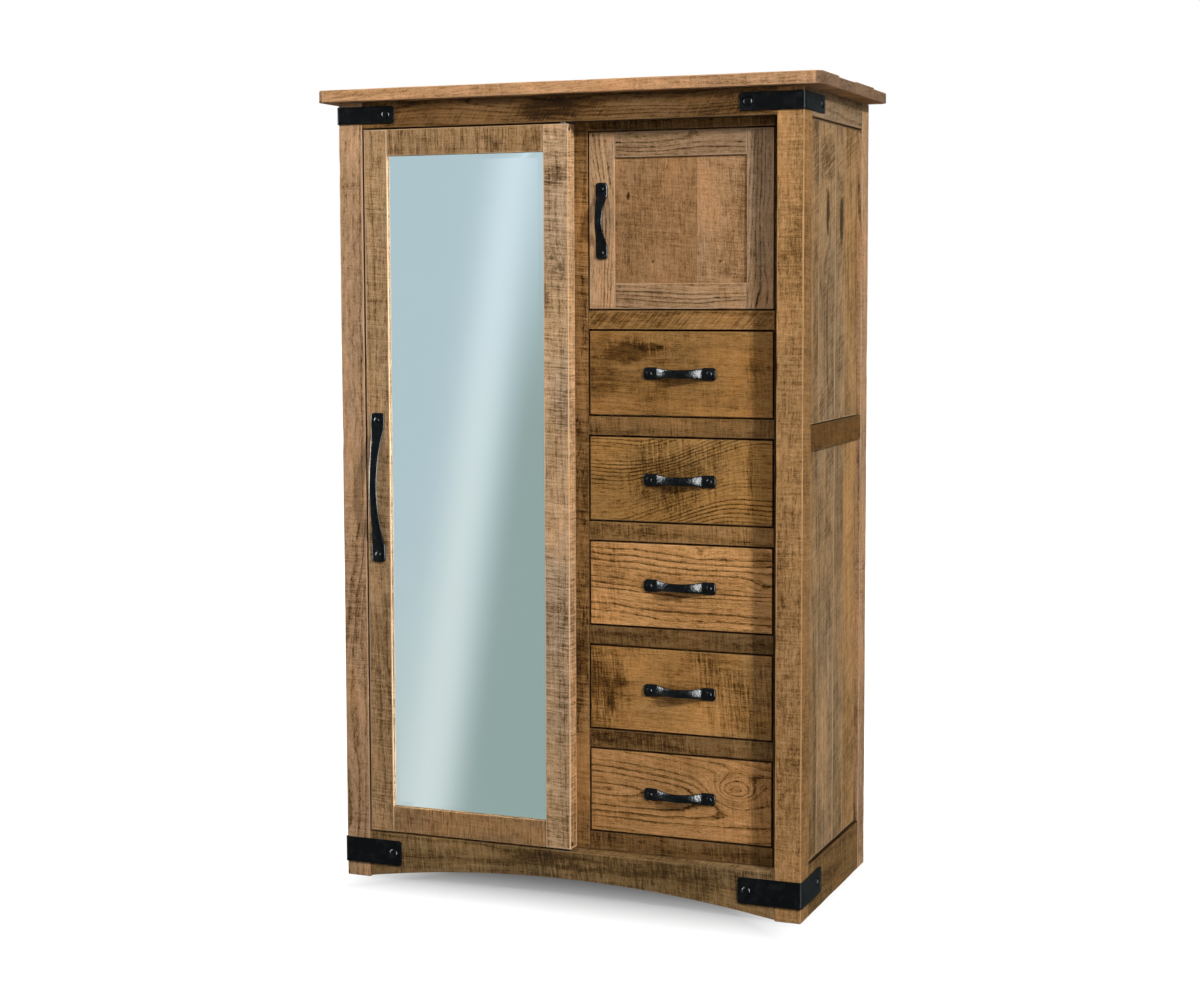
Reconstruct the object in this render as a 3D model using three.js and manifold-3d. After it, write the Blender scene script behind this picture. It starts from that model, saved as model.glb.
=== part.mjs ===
// A rustic two-part wardrobe chest: a tall mirror door on pivots covers the hanging space
// on the left, and a recessed bank of five drawers under a small door stands on the right.
// Millimetres, +Z up, +X to the viewer's right, -Y towards the viewer.
// Every board is built in case coordinates: x = 0 on the centre line, y = 0 on the front
// face, z = 0 on the floor. The last lines move the whole case to its reference point.
import * as THREE from 'three';
import { mergeVertices } from 'three/addons/utils/BufferGeometryUtils.js';
import Module from 'manifold-3d';

const wasm = await Module();
wasm.setup();

// Case and top
const case_width = 1108;
const case_depth = 536;
const overall_height = 1829;
const top_thickness = 28;
const top_side_overhang = 45;
const top_front_overhang = 24;
const top_corner_radius = 20;
const top_board_shares = [0.24, 0.5, 0.77];

// Posts
const post_width = 60;
const front_post_depth = 62;
const back_post_depth = 56;
const foot_ease = 5;
const stop_strip_width = 12;

// Front frame
const top_rail_height = 60;
const bottom_rail_top = 108;
const arch_spring_height = 3;
const arch_peak_height = 44;
const bank_recess = 42;

// Side frames
const side_rail_thickness = 27;
const side_top_rail_height = 60;
const side_middle_rail_height = 56;
const side_middle_rail_share = 0.559;
const side_bottom_rail_top = 115;
const side_panel_thickness = 12;
const side_panel_recess = 9;
const side_board_shares = [0.22, 0.53, 0.72];

// Joinery
const seat_gap = 0.3;
const overrun = 20;
const arris = 1.5;
const tongue = 8;
const tenon_length = 25;
const tenon_thickness = 12;
const tenon_shoulder = 12;
const seam_width = 3;
const seam_depth = 1.5;

// Case inside
const floor_thickness = 18;
const cleat_width = 20;
const cleat_height = 25;
const partition_thickness = 18;
const back_panel_thickness = 9;
const back_panel_inset = 6;
const back_panel_base = 60;
const back_board_count = 8;
const rod_radius = 12.5;
const rod_drop = 161;
const rod_flange_radius = 28;
const rod_flange_thickness = 8;

// Mirror door
const mirror_door_thickness = 38;
const mirror_door_lap = 15;
const mirror_door_side_gap = 2.5;
const mirror_door_top_gap = 3.5;
const mirror_door_bottom_gap = 5;
const mirror_frame_width = 60;
const mirror_setback = 10;
const mirror_rebate = 9;
const mirror_thickness = 5;
const mirror_bevel_width = 11;
const mirror_bevel_depth = 2;
const mirror_backing_thickness = 8;
const mirror_pull_drop = 6;

// Pivots of the mirror door
const pivot_inset = 12;
const pivot_setback = 8;
const pivot_radius = 4;
const pivot_hold = 20;
const pivot_collar_radius = 7;
const pivot_screw_radius = 2.5;
const pivot_screw_head_radius = 5;
const pivot_screw_head_height = 1.2;
const pivot_screw_head_sink = 2.5;
const pivot_screw_drop = 11;

// Drawer bank
const drawer_count = 5;
const bank_reveal = 30.5;
const bank_left_stile_width = 60;
const bank_right_stile_width = 16.5;
const bank_board_thickness = 22;
const bank_base_height = 150;
const bank_rail_height = 42;
const bank_top_rail_reveal = 19.5;
const small_door_opening_height = 394;
const front_gap = 3;
const runner_thickness = 20;
const runner_width = 40;
const runner_end_gap = 6;
const guide_height = 16;

// Drawers
const drawer_front_thickness = 20;
const drawer_box_depth = 430;
const drawer_box_headroom = 33.5;
const drawer_side_gap = 1;
const drawer_wall = 12;
const drawer_bottom_thickness = 6;
const drawer_bottom_rise = 10;

// Small door
const small_door_thickness = 22;
const small_stile_width = 60;
const small_rail_height = 56;
const small_panel_thickness = 10;
const small_panel_recess = 5;
const small_panel_seam_share = 0.62;
const small_pivot_inset = 14;
const small_pivot_setback = 7;
const small_pivot_radius = 3;
const small_pivot_reach = 12;

// Forged strap pulls
const long_pull_length = 345;
const long_pull_pad = 34;
const long_pull_waist = 16.5;
const long_pull_bow = 27;
const short_pull_length = 168;
const short_pull_pad = 28;
const short_pull_waist = 18.5;
const short_pull_bow = 20;
const strap_thickness = 5;
const strap_arris_share = 0.25;
const strap_corner = 5;
const pull_screw_radius = 6;
const pull_screw_dome = 2.6;

// Corner straps
const strap_plate_thickness = 3.2;
const strap_front_leg = 143;
const strap_side_leg = 150;
const strap_end_radius = 7;
const strap_bend_radius = 3;
const top_strap_height = 39;
const top_strap_drop = 10.5;
const bottom_strap_height = 59;
const bottom_strap_base = 33;
const strap_screw_radius = 10;
const strap_screw_dome = 4;
const strap_front_screw_inset = 20;
const strap_side_screw_inset = 24;

// Smoothness, as counts
const round_steps = 20;
const corner_steps = 5;
const arch_steps = 28;
const dome_steps = 4;
const dome_sides = 16;
const bow_steps = 14;
const pad_steps = 3;

// Levels and planes that several pieces share
const half = case_width / 2;
const inner = half - post_width;
const case_top = overall_height - top_thickness;
const top_rail_base = case_top - top_rail_height;
const side_panel_room = case_top - side_top_rail_height - side_bottom_rail_top;
const side_middle_rail_base = side_bottom_rail_top + side_middle_rail_share * side_panel_room;
const front_rail_thickness = bank_recess - seat_gap;
const back_post_front = case_depth - back_post_depth;
const back_panel_back = case_depth - back_panel_inset;
const back_panel_front = back_panel_back - back_panel_thickness;
const inside_back = back_panel_front - seat_gap;
const side_inner = half - side_rail_thickness;
const panel_inner = half - side_panel_recess - side_panel_thickness;
const floor_base = bottom_rail_top - floor_thickness;

const bank_left = mirror_door_lap + bank_reveal;
const bank_right = inner - bank_right_stile_width;
const bank_back = bank_recess + bank_board_thickness;
const left_stile_left = bank_left - bank_left_stile_width;
const partition_centre = bank_left - bank_left_stile_width / 2;
const partition_left = partition_centre - partition_thickness / 2;
const partition_right = partition_centre + partition_thickness / 2;
const bank_top_rail_base = top_rail_base - bank_top_rail_reveal;
const compartment_base = bank_top_rail_base - small_door_opening_height;
const bank_pitch = (compartment_base - bank_base_height) / drawer_count;
const drawer_opening_height = bank_pitch - bank_rail_height;
const drawer_box_height = drawer_opening_height - drawer_box_headroom;

// Colours
const finish = {
  oak: [0x8f6c48, 0.75, 0],
  pale: [0xa9845a, 0.72, 0],
  dark: [0x6b5238, 0.8, 0],
  drawer_lining: [0xb39a72, 0.7, 0],
  iron: [0x0d0f11, 0.35, 0.6],
  strap: [0x121518, 0.55, 0.5],
  steel: [0x6f7274, 0.35, 1],
  mirror: [0xa9bac4, 0.03, 1],
};

function material(kind) {
  const [color, roughness, metalness] = finish[kind];
  return new THREE.MeshStandardMaterial({ color, roughness, metalness });
}

// Solids and geometries
function solid(geometry) {
  geometry.deleteAttribute('normal');
  geometry.deleteAttribute('uv');
  const merged = mergeVertices(geometry);
  const index = merged.index.array;
  const triangles = [];
  for (let i = 0; i < index.length; i += 3) {
    const [a, b, c] = [index[i], index[i + 1], index[i + 2]];
    if (a !== b && b !== c && c !== a) triangles.push(a, b, c);
  }
  const vertProperties = new Float32Array(merged.attributes.position.array);
  const triVerts = new Uint32Array(triangles);
  return new wasm.Manifold(new wasm.Mesh({ numProp: 3, vertProperties, triVerts }));
}

function geometryOf(body) {
  const mesh = body.getMesh();
  const geometry = new THREE.BufferGeometry();
  geometry.setAttribute('position', new THREE.BufferAttribute(mesh.vertProperties.slice(), 3));
  geometry.setIndex(new THREE.BufferAttribute(mesh.triVerts.slice(), 1));
  geometry.computeVertexNormals();
  return geometry;
}

function join(...bodies) {
  return bodies.reduce((sum, body) => sum.add(body));
}

function cut(body, ...tools) {
  return tools.reduce((left, tool) => left.subtract(tool), body);
}

// A box is written as its two corners.
function box(x0, x1, y0, y1, z0, z1) {
  return { low: new THREE.Vector3(x0, y0, z0), high: new THREE.Vector3(x1, y1, z1) };
}

function grown(span, by = seat_gap) {
  return { low: span.low.clone().subScalar(by), high: span.high.clone().addScalar(by) };
}

function mirrored(span) {
  const { low, high } = span;
  return box(-high.x, -low.x, low.y, high.y, low.z, high.z);
}

function block(span) {
  const size = span.high.clone().sub(span.low);
  const middle = span.low.clone().add(span.high).multiplyScalar(1 / 2);
  const geometry = new THREE.BoxGeometry(size.x, size.y, size.z);
  return solid(geometry.translate(middle.x, middle.y, middle.z));
}

// A prism carries an outline along one axis. The outline's two coordinates are the next
// two axes in turn: y and z for a prism along x, z and x along y, x and y along z.
const unit = {
  x: new THREE.Vector3(1, 0, 0),
  y: new THREE.Vector3(0, 1, 0),
  z: new THREE.Vector3(0, 0, 1),
};
const turn = {
  x: new THREE.Matrix4().makeBasis(unit.y, unit.z, unit.x),
  y: new THREE.Matrix4().makeBasis(unit.z, unit.x, unit.y),
  z: new THREE.Matrix4(),
};
const next = { x: ['y', 'z'], y: ['z', 'x'], z: ['x', 'y'] };

function prism(outline, axis, from, to) {
  const geometry = new THREE.ExtrudeGeometry(outline, {
    depth: to - from,
    bevelEnabled: false,
    curveSegments: corner_steps,
  });
  geometry.translate(0, 0, from);
  geometry.applyMatrix4(turn[axis]);
  return solid(geometry);
}

function outlineOf(points) {
  return new THREE.Shape(points.map(([a, b]) => new THREE.Vector2(a, b)));
}

// A sawn board: its four long arrises are taken off.
function board(span, axis, ease = arris) {
  const [p, q] = next[axis];
  const [a0, a1, b0, b1] = [span.low[p], span.high[p], span.low[q], span.high[q]];
  const outline = outlineOf([
    [a0 + ease, b0],
    [a1 - ease, b0],
    [a1, b0 + ease],
    [a1, b1 - ease],
    [a1 - ease, b1],
    [a0 + ease, b1],
    [a0, b1 - ease],
    [a0, b0 + ease],
  ]);
  return prism(outline, axis, span.low[axis], span.high[axis]);
}

// Boards glued edge to edge: a rectangle whose face side has a narrow V at each seam.
// The outline runs from a0 to a1 across the boards and from their back to their face.
function seamed(a0, a1, b_back, b_face, shares, flip = false) {
  const inward = Math.sign(b_back - b_face);
  const points = [[a0, b_back], [a1, b_back], [a1, b_face]];
  for (const share of [...shares].reverse()) {
    const a = a0 + (a1 - a0) * share;
    points.push([a + seam_width / 2, b_face]);
    points.push([a, b_face + inward * seam_depth]);
    points.push([a - seam_width / 2, b_face]);
  }
  points.push([a0, b_face]);
  return outlineOf(flip ? points.map(([a, b]) => [b, a]) : points);
}

function revolved(profile, axis, x, y, z, sides = dome_sides) {
  const points = profile.map(([radius, height]) => new THREE.Vector2(radius, height));
  const geometry = new THREE.LatheGeometry(points, sides);
  if (axis === 'x') geometry.rotateZ(-Math.PI / 2);
  if (axis === '-y') geometry.rotateZ(Math.PI);
  if (axis === 'z') geometry.rotateX(Math.PI / 2);
  return solid(geometry.translate(x, y, z));
}

function pin(radius, axis, from, to, x, y, z, sides = round_steps) {
  return revolved([[0, from], [radius, from], [radius, to], [0, to]], axis, x, y, z, sides);
}

// A domed screw head whose flat back sinks a little into what it clamps.
function dome(radius, height, sink, axis, x, y, z) {
  const profile = [[0, -sink], [radius, -sink]];
  for (let i = 0; i < dome_steps; i += 1) {
    const angle = (i / dome_steps) * (Math.PI / 2);
    profile.push([radius * Math.cos(angle), height * Math.sin(angle)]);
  }
  profile.push([0, height]);
  return revolved(profile, axis, x, y, z);
}

function flipped(body) {
  const mesh = body.getMesh();
  const vertProperties = mesh.vertProperties.slice();
  const triVerts = mesh.triVerts.slice();
  for (let i = 0; i < vertProperties.length; i += 3) vertProperties[i] *= -1;
  for (let i = 0; i < triVerts.length; i += 3) {
    [triVerts[i + 1], triVerts[i + 2]] = [triVerts[i + 2], triVerts[i + 1]];
  }
  return new wasm.Manifold(new wasm.Mesh({ numProp: 3, vertProperties, triVerts }));
}

// Groups, one for each thing that moves by itself
const cabinet = new THREE.Group();
const carcase = new THREE.Group();
const mirror_door = new THREE.Group();
const small_door = new THREE.Group();
cabinet.add(carcase, mirror_door, small_door);

function add(group, name, body, kind) {
  const geometry = geometryOf(body);
  geometry.computeBoundingBox();
  const middle = geometry.boundingBox.getCenter(new THREE.Vector3());
  geometry.translate(-middle.x, -middle.y, -middle.z);
  const mesh = new THREE.Mesh(geometry, material(kind));
  mesh.name = name;
  mesh.position.copy(middle);
  group.add(mesh);
  return mesh;
}

// Spans of the boards
const post_spans = {
  front_right: box(inner, half, 0, front_post_depth, 0, case_top - seat_gap),
  back_right: box(inner, half, back_post_front, case_depth, 0, case_top - seat_gap),
};
post_spans.front_left = mirrored(post_spans.front_right);
post_spans.back_left = mirrored(post_spans.back_right);

const rail_reach = inner - seat_gap;
const top_rail_top = case_top - seat_gap;
const top_rail_span = box(-rail_reach, rail_reach, 0, front_rail_thickness, top_rail_base, top_rail_top);
const bottom_rail_span = box(-rail_reach, rail_reach, 0, front_rail_thickness, 0, bottom_rail_top);

const side_y0 = front_post_depth + seat_gap;
const side_y1 = back_post_front - seat_gap;
const side_middle_rail_top = side_middle_rail_base + side_middle_rail_height;
const side_rail_spans = {
  top: box(side_inner, half, side_y0, side_y1, case_top - side_top_rail_height, case_top - seat_gap),
  middle: box(side_inner, half, side_y0, side_y1, side_middle_rail_base, side_middle_rail_top),
  bottom: box(side_inner, half, side_y0, side_y1, 0, side_bottom_rail_top),
};

// A panel's edges stand in grooves a tongue deep in the posts and rails around it.
function panelSpan(z0, z1) {
  const reach = tongue - seat_gap;
  const y0 = front_post_depth - reach;
  const y1 = back_post_front + reach;
  return box(panel_inner, panel_inner + side_panel_thickness, y0, y1, z0 - reach, z1 + reach);
}
const side_panel_spans = {
  upper: panelSpan(side_rail_spans.middle.high.z, side_rail_spans.top.low.z),
  lower: panelSpan(side_rail_spans.bottom.high.z, side_rail_spans.middle.low.z),
};

const floor_span = box(
  -side_inner + seat_gap,
  side_inner - seat_gap,
  front_rail_thickness - tongue + seat_gap,
  inside_back,
  floor_base,
  bottom_rail_top
);
const back_span = box(
  -inner - tongue + seat_gap,
  inner + tongue - seat_gap,
  back_panel_front,
  back_panel_back,
  back_panel_base,
  case_top - seat_gap
);

// Tenons: a rail's end enters the post by a narrower tongue.
function tenonAlongX(span, side) {
  const y = (span.low.y + span.high.y) / 2;
  const x0 = side > 0 ? span.high.x - overrun : span.low.x - tenon_length;
  const x1 = side > 0 ? span.high.x + tenon_length : span.low.x + overrun;
  const z0 = span.low.z + tenon_shoulder;
  return box(x0, x1, y - tenon_thickness / 2, y + tenon_thickness / 2, z0, span.high.z - tenon_shoulder);
}

function tenonAlongY(span, side) {
  const x = (span.low.x + span.high.x) / 2;
  const y0 = side > 0 ? span.high.y - overrun : span.low.y - tenon_length;
  const y1 = side > 0 ? span.high.y + tenon_length : span.low.y + overrun;
  const z0 = span.low.z + tenon_shoulder;
  return box(x - tenon_thickness / 2, x + tenon_thickness / 2, y0, y1, z0, span.high.z - tenon_shoulder);
}

// The arched rail's tenons stand above the springing of the arch.
const bottom_tenon_zone = box(
  -rail_reach,
  rail_reach,
  0,
  front_rail_thickness,
  arch_peak_height,
  bottom_rail_top
);

// Posts: square stock with mortises, panel grooves and eased feet
function post(name) {
  const span = post_spans[name];
  const left = name.endsWith('left');
  const front = name.startsWith('front');
  const tools = [];
  for (const rail of Object.values(side_rail_spans)) {
    const tenon = tenonAlongY(rail, front ? -1 : 1);
    tools.push(block(grown(left ? mirrored(tenon) : tenon)));
  }
  for (const panel of Object.values(side_panel_spans)) {
    tools.push(block(grown(left ? mirrored(panel) : panel)));
  }
  if (front) {
    const side = left ? -1 : 1;
    tools.push(block(grown(tenonAlongX(top_rail_span, side))));
    tools.push(block(grown(tenonAlongX(bottom_tenon_zone, side))));
  } else {
    tools.push(block(grown(back_span)));
  }
  const stock = board(span, 'z');
  const y0 = span.low.y;
  const y1 = span.high.y;
  const foot = outlineOf([
    [0, y0 + foot_ease],
    [foot_ease, y0],
    [case_top, y0],
    [case_top, y1],
    [foot_ease, y1],
    [0, y1 - foot_ease],
  ]);
  const eased = stock.intersect(prismZY(foot, span.low.x, span.high.x));
  return cut(eased, ...tools);
}

// A prism along x whose outline is given as (z, y) points.
function prismZY(outline, from, to) {
  const swapped = outline.getPoints().map((point) => [point.y, point.x]);
  return prism(outlineOf(swapped.reverse()), 'x', from, to);
}

function buildPosts() {
  const strip = board(
    box(
      -inner - arris,
      -inner + stop_strip_width,
      mirror_door_thickness + seat_gap,
      front_post_depth - arris,
      bottom_rail_top + seat_gap,
      top_rail_base - seat_gap
    ),
    'z'
  );
  add(carcase, 'front_left_post', join(post('front_left'), strip), 'oak');
  add(carcase, 'front_right_post', post('front_right'), 'oak');
  add(carcase, 'back_left_post', post('back_left'), 'dark');
  add(carcase, 'back_right_post', post('back_right'), 'dark');
}

// Front rails: both hold a pivot of the mirror door
const mirror_door_right = mirror_door_lap;
const pivot_x = mirror_door_right - pivot_inset;
const pivot_y = pivot_setback;
const door_base = bottom_rail_top + mirror_door_bottom_gap;
const door_top = top_rail_base - mirror_door_top_gap;

function pivotSocket() {
  const radius = pivot_radius + seat_gap;
  return [
    pin(radius, 'z', -overrun - seat_gap, 0, pivot_x, pivot_y, bottom_rail_top),
    pin(radius, 'z', 0, overrun + seat_gap, pivot_x, pivot_y, top_rail_base),
  ];
}

function buildFrontRails() {
  const [bottom_socket, top_socket] = pivotSocket();
  const top = join(
    board(top_rail_span, 'x'),
    block(tenonAlongX(top_rail_span, 1)),
    block(tenonAlongX(top_rail_span, -1))
  );
  add(carcase, 'front_top_rail', cut(top, top_socket), 'dark');

  // The lower edge is a circular arch from post to post.
  const rise = arch_peak_height - arch_spring_height;
  const radius = (rail_reach * rail_reach + rise * rise) / (2 * rise);
  const spread = Math.asin(rail_reach / radius);
  const arch = [[arch_spring_height - overrun, -rail_reach - overrun]];
  for (let i = 0; i <= arch_steps; i += 1) {
    const angle = -spread + (2 * spread * i) / arch_steps;
    arch.push([arch_peak_height - radius * (1 - Math.cos(angle)), radius * Math.sin(angle)]);
  }
  arch.push([arch_spring_height - overrun, rail_reach + overrun]);
  const hollow = prism(outlineOf(arch.reverse()), 'y', -overrun, front_rail_thickness + overrun);
  const reach = rail_reach + overrun;
  const lift = block(box(-reach, reach, -overrun, case_depth, -overrun, arch_spring_height));
  const bottom = join(
    board(bottom_rail_span, 'x'),
    block(tenonAlongX(bottom_tenon_zone, 1)),
    block(tenonAlongX(bottom_tenon_zone, -1))
  );
  const tools = [lift, hollow, block(grown(floor_span)), bottom_socket];
  add(carcase, 'front_bottom_rail', cut(bottom, ...tools), 'dark');
}

// Side frames: rails tenoned into the posts, panels of glued boards in the grooves
function sideRail(name) {
  const span = side_rail_spans[name];
  const parts = [board(span, 'y'), block(tenonAlongY(span, 1)), block(tenonAlongY(span, -1))];
  if (name === 'bottom') parts.push(floorCleat(span));
  const grooves = Object.values(side_panel_spans).map((panel) => block(grown(panel)));
  return cut(join(...parts), ...grooves);
}

// The case floor lies on a cleat glued along each bottom side rail.
function floorCleat(span) {
  const z1 = floor_base - seat_gap;
  const x1 = side_inner + arris + seat_gap;
  return block(box(side_inner - cleat_width, x1, span.low.y, span.high.y, z1 - cleat_height, z1));
}

function sidePanel(name) {
  const { low, high } = side_panel_spans[name];
  const outline = seamed(low.y, high.y, low.x, high.x, side_board_shares, true);
  return prism(outline, 'z', low.z, high.z);
}

function buildSides() {
  for (const name of ['top', 'middle', 'bottom']) {
    const rail = sideRail(name);
    add(carcase, `right_side_${name}_rail`, rail, 'oak');
    add(carcase, `left_side_${name}_rail`, flipped(rail), 'oak');
  }
  for (const name of ['upper', 'lower']) {
    const panel = sidePanel(name);
    add(carcase, `right_side_${name}_panel`, panel, 'pale');
    add(carcase, `left_side_${name}_panel`, flipped(panel), 'pale');
  }
}

// Top: boards glued side by side, rounded at the corners
function buildTop() {
  const half_top = half + top_side_overhang;
  const y0 = -top_front_overhang;
  const r = top_corner_radius;
  const plan = new THREE.Shape();
  plan.absarc(half_top - r, y0 + r, r, -Math.PI / 2, 0);
  plan.absarc(half_top - r, case_depth - r, r, 0, Math.PI / 2);
  plan.absarc(-half_top + r, case_depth - r, r, Math.PI / 2, Math.PI);
  plan.absarc(-half_top + r, y0 + r, r, Math.PI, (3 * Math.PI) / 2);
  const section = seamed(y0, case_depth, case_top, overall_height, top_board_shares);
  const slab = prism(section, 'x', -half_top, half_top);
  const trimmed = slab.intersect(prism(plan, 'z', case_top - overrun, overall_height + overrun));
  add(carcase, 'top_board', trimmed, 'oak');
}

// Case inside
function buildInside() {
  const posts = Object.values(post_spans).map((span) => block(grown(span)));
  const floor = cut(block(floor_span), ...posts);
  add(carcase, 'case_floor', floor, 'oak');

  const partition = box(
    partition_left,
    partition_right,
    bank_back + seat_gap,
    inside_back,
    bottom_rail_top + seat_gap,
    case_top - seat_gap
  );
  add(carcase, 'centre_partition', board(partition, 'z'), 'oak');

  const shares = [];
  for (let i = 1; i < back_board_count; i += 1) shares.push(i / back_board_count);
  const { low, high } = back_span;
  const boards = seamed(low.x, high.x, low.y, high.y, shares);
  add(carcase, 'back_panel', prism(boards, 'z', low.z, high.z), 'pale');

  const rod_left = -panel_inner + seat_gap;
  const rod_right = partition_left - seat_gap;
  const rod_y = (bank_back + inside_back) / 2;
  const rod = revolved(
    [
      [0, rod_left],
      [rod_flange_radius, rod_left],
      [rod_flange_radius, rod_left + rod_flange_thickness],
      [rod_radius, rod_left + rod_flange_thickness],
      [rod_radius, rod_right - rod_flange_thickness],
      [rod_flange_radius, rod_right - rod_flange_thickness],
      [rod_flange_radius, rod_right],
      [0, rod_right],
    ],
    'x',
    0,
    rod_y,
    case_top - rod_drop,
    round_steps
  );
  add(carcase, 'hanging_rod', rod, 'steel');
}

// Drawer bank: a face frame with two stiles and a top rail, then a web frame under each
// drawer, whose front rail shows between the stiles and whose runners carry the drawer
const small_pivot_x = bank_right - front_gap - small_pivot_inset;
const small_pivot_y = bank_recess + small_pivot_setback;
const small_pivot_hole = small_pivot_radius + seat_gap;

function buildFaceFrame() {
  const z0 = bottom_rail_top + seat_gap;
  const z1 = case_top - seat_gap;
  const right = inner - seat_gap;
  const left_stile = board(box(left_stile_left, bank_left, bank_recess, bank_back, z0, z1), 'z');
  const right_stile = board(box(bank_right, right, bank_recess, bank_back, z0, z1), 'z');
  const lap = arris + seat_gap;
  const rail = block(
    box(bank_left - lap, bank_right + lap, bank_recess, bank_back, bank_top_rail_base, z1)
  );
  const socket = pin(
    small_pivot_hole,
    'z',
    -seat_gap,
    small_pivot_reach + seat_gap,
    small_pivot_x,
    small_pivot_y,
    bank_top_rail_base
  );
  add(carcase, 'bank_face_frame', cut(join(left_stile, right_stile, rail), socket), 'oak');
}

const web_left = partition_right + seat_gap;
const web_right = inner - seat_gap;
const web_back = inside_back - runner_end_gap;
const guide_clearance = drawer_side_gap / 2;
const box_left = bank_left + front_gap + drawer_side_gap;
const box_right = bank_right - front_gap - drawer_side_gap;

function frontRail(z0, z1) {
  return board(box(bank_left + seat_gap, bank_right - seat_gap, bank_recess, bank_back, z0, z1), 'x');
}

// The side runners, the back rail and the two guides that keep a drawer straight.
function webFrame(z0, z1) {
  const y0 = bank_back - overrun;
  const y1 = web_back;
  const front_x0 = bank_left + seat_gap;
  const front_x1 = bank_right - seat_gap;
  const left_x1 = box_left - guide_clearance;
  const right_x0 = box_right + guide_clearance;
  const base = z1 - runner_thickness;
  const inset = bank_back + seat_gap;
  const left = block(box(web_left, web_left + runner_width, inset, y1, base, z1));
  const right = block(box(web_right - runner_width, web_right, inset, y1, base, z1));
  const back = block(box(web_left, web_right, y1 - runner_width, y1, base, z1));
  const front = block(box(front_x0, front_x1, y0, bank_back + runner_width, base, z1));
  const left_guide = block(box(web_left, left_x1, inset, y1, base, z1 + guide_height));
  const right_guide = block(box(right_x0, web_right, inset, y1, base, z1 + guide_height));
  return join(frontRail(z0, z1), front, left, right, back, left_guide, right_guide);
}

function buildWebFrames() {
  for (let i = 0; i < drawer_count; i += 1) {
    const above = drawer_count - 1 - i;
    const z1 = bank_base_height + above * bank_pitch;
    const z0 = above === 0 ? bottom_rail_top + seat_gap : z1 - bank_rail_height;
    add(carcase, `drawer_${i + 1}_web_frame`, webFrame(z0, z1), 'oak');
  }

  // The small compartment's floor is a whole board behind its front rail.
  const z1 = compartment_base;
  const base = z1 - runner_thickness;
  const neck_x0 = bank_left + seat_gap;
  const neck_x1 = bank_right - seat_gap;
  const shelf = block(box(web_left, web_right, bank_back + seat_gap, inside_back, base, z1));
  const neck = block(box(neck_x0, neck_x1, bank_back - overrun, bank_back + runner_width, base, z1));
  const socket = pin(
    small_pivot_hole,
    'z',
    -small_pivot_reach - seat_gap,
    seat_gap,
    small_pivot_x,
    small_pivot_y,
    z1
  );
  const back_post = block(grown(post_spans.back_right));
  const body = cut(join(frontRail(z1 - bank_rail_height, z1), shelf, neck), socket, back_post);
  add(carcase, 'compartment_floor', body, 'oak');
}

// A forged strap pull, its length along x, lying on the plane y = 0 and bowed towards -y.
// The flat pads carry domed screws. Between them the strap rises as a parabola and narrows
// with the cube of the distance from its middle.
function strapPull(length, pad, waist, bow) {
  const reach = length / 2;
  const free = reach - pad;
  const stations = [];
  for (let i = 0; i <= pad_steps; i += 1) {
    const angle = (i / pad_steps) * (Math.PI / 2);
    stations.push(-reach + strap_corner * (1 - Math.cos(angle)));
  }
  for (let i = 0; i <= bow_steps; i += 1) stations.push(-free + (2 * free * i) / bow_steps);
  for (let i = pad_steps; i >= 0; i -= 1) {
    const angle = (i / pad_steps) * (Math.PI / 2);
    stations.push(reach - strap_corner * (1 - Math.cos(angle)));
  }

  const ease = strap_thickness * strap_arris_share;
  const rings = stations.map((x) => {
    const from_end = reach - Math.abs(x);
    const u = Math.max(0, 1 - Math.abs(x) / free);
    const rise = bow * (1 - (1 - u) * (1 - u));
    let width = u > 0 ? waist + (pad - waist) * Math.pow(1 - u, 3) : pad;
    if (from_end < strap_corner) {
      const d = strap_corner - from_end;
      width = pad - 2 * strap_corner + 2 * Math.sqrt(strap_corner * strap_corner - d * d);
    }
    const w = width / 2;
    const near = -rise;
    const far = -rise - strap_thickness;
    return [
      [x, near, -w + ease],
      [x, near, w - ease],
      [x, near - ease, w],
      [x, far + ease, w],
      [x, far, w - ease],
      [x, far, -w + ease],
      [x, far + ease, -w],
      [x, near - ease, -w],
    ];
  });

  const around = rings[0].length;
  const vertices = rings.flat(2);
  const faces = [];
  for (let i = 0; i + 1 < rings.length; i += 1) {
    for (let j = 0; j < around; j += 1) {
      const a = i * around + j;
      const b = i * around + ((j + 1) % around);
      faces.push(a, b, b + around, a, b + around, a + around);
    }
  }
  const last = (rings.length - 1) * around;
  for (let j = 1; j + 1 < around; j += 1) {
    faces.push(0, j + 1, j);
    faces.push(last, last + j, last + j + 1);
  }
  const geometry = new THREE.BufferGeometry();
  geometry.setAttribute('position', new THREE.Float32BufferAttribute(vertices, 3));
  geometry.setIndex(faces);
  const strap = solid(geometry);
  const screw_x = reach - pad / 2;
  const screws = [-screw_x, screw_x].map((x) =>
    dome(pull_screw_radius, pull_screw_dome, strap_thickness / 2, '-y', x, -strap_thickness, 0)
  );
  return join(strap, ...screws);
}

function addPull(group, name, size, x, y, z, upright) {
  const mesh = new THREE.Mesh(geometryOf(strapPull(...size)), material('iron'));
  mesh.name = name;
  mesh.position.set(x, y - seat_gap, z);
  if (upright) mesh.rotation.y = Math.PI / 2;
  group.add(mesh);
}

const long_pull = [long_pull_length, long_pull_pad, long_pull_waist, long_pull_bow];
const short_pull = [short_pull_length, short_pull_pad, short_pull_waist, short_pull_bow];

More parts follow.
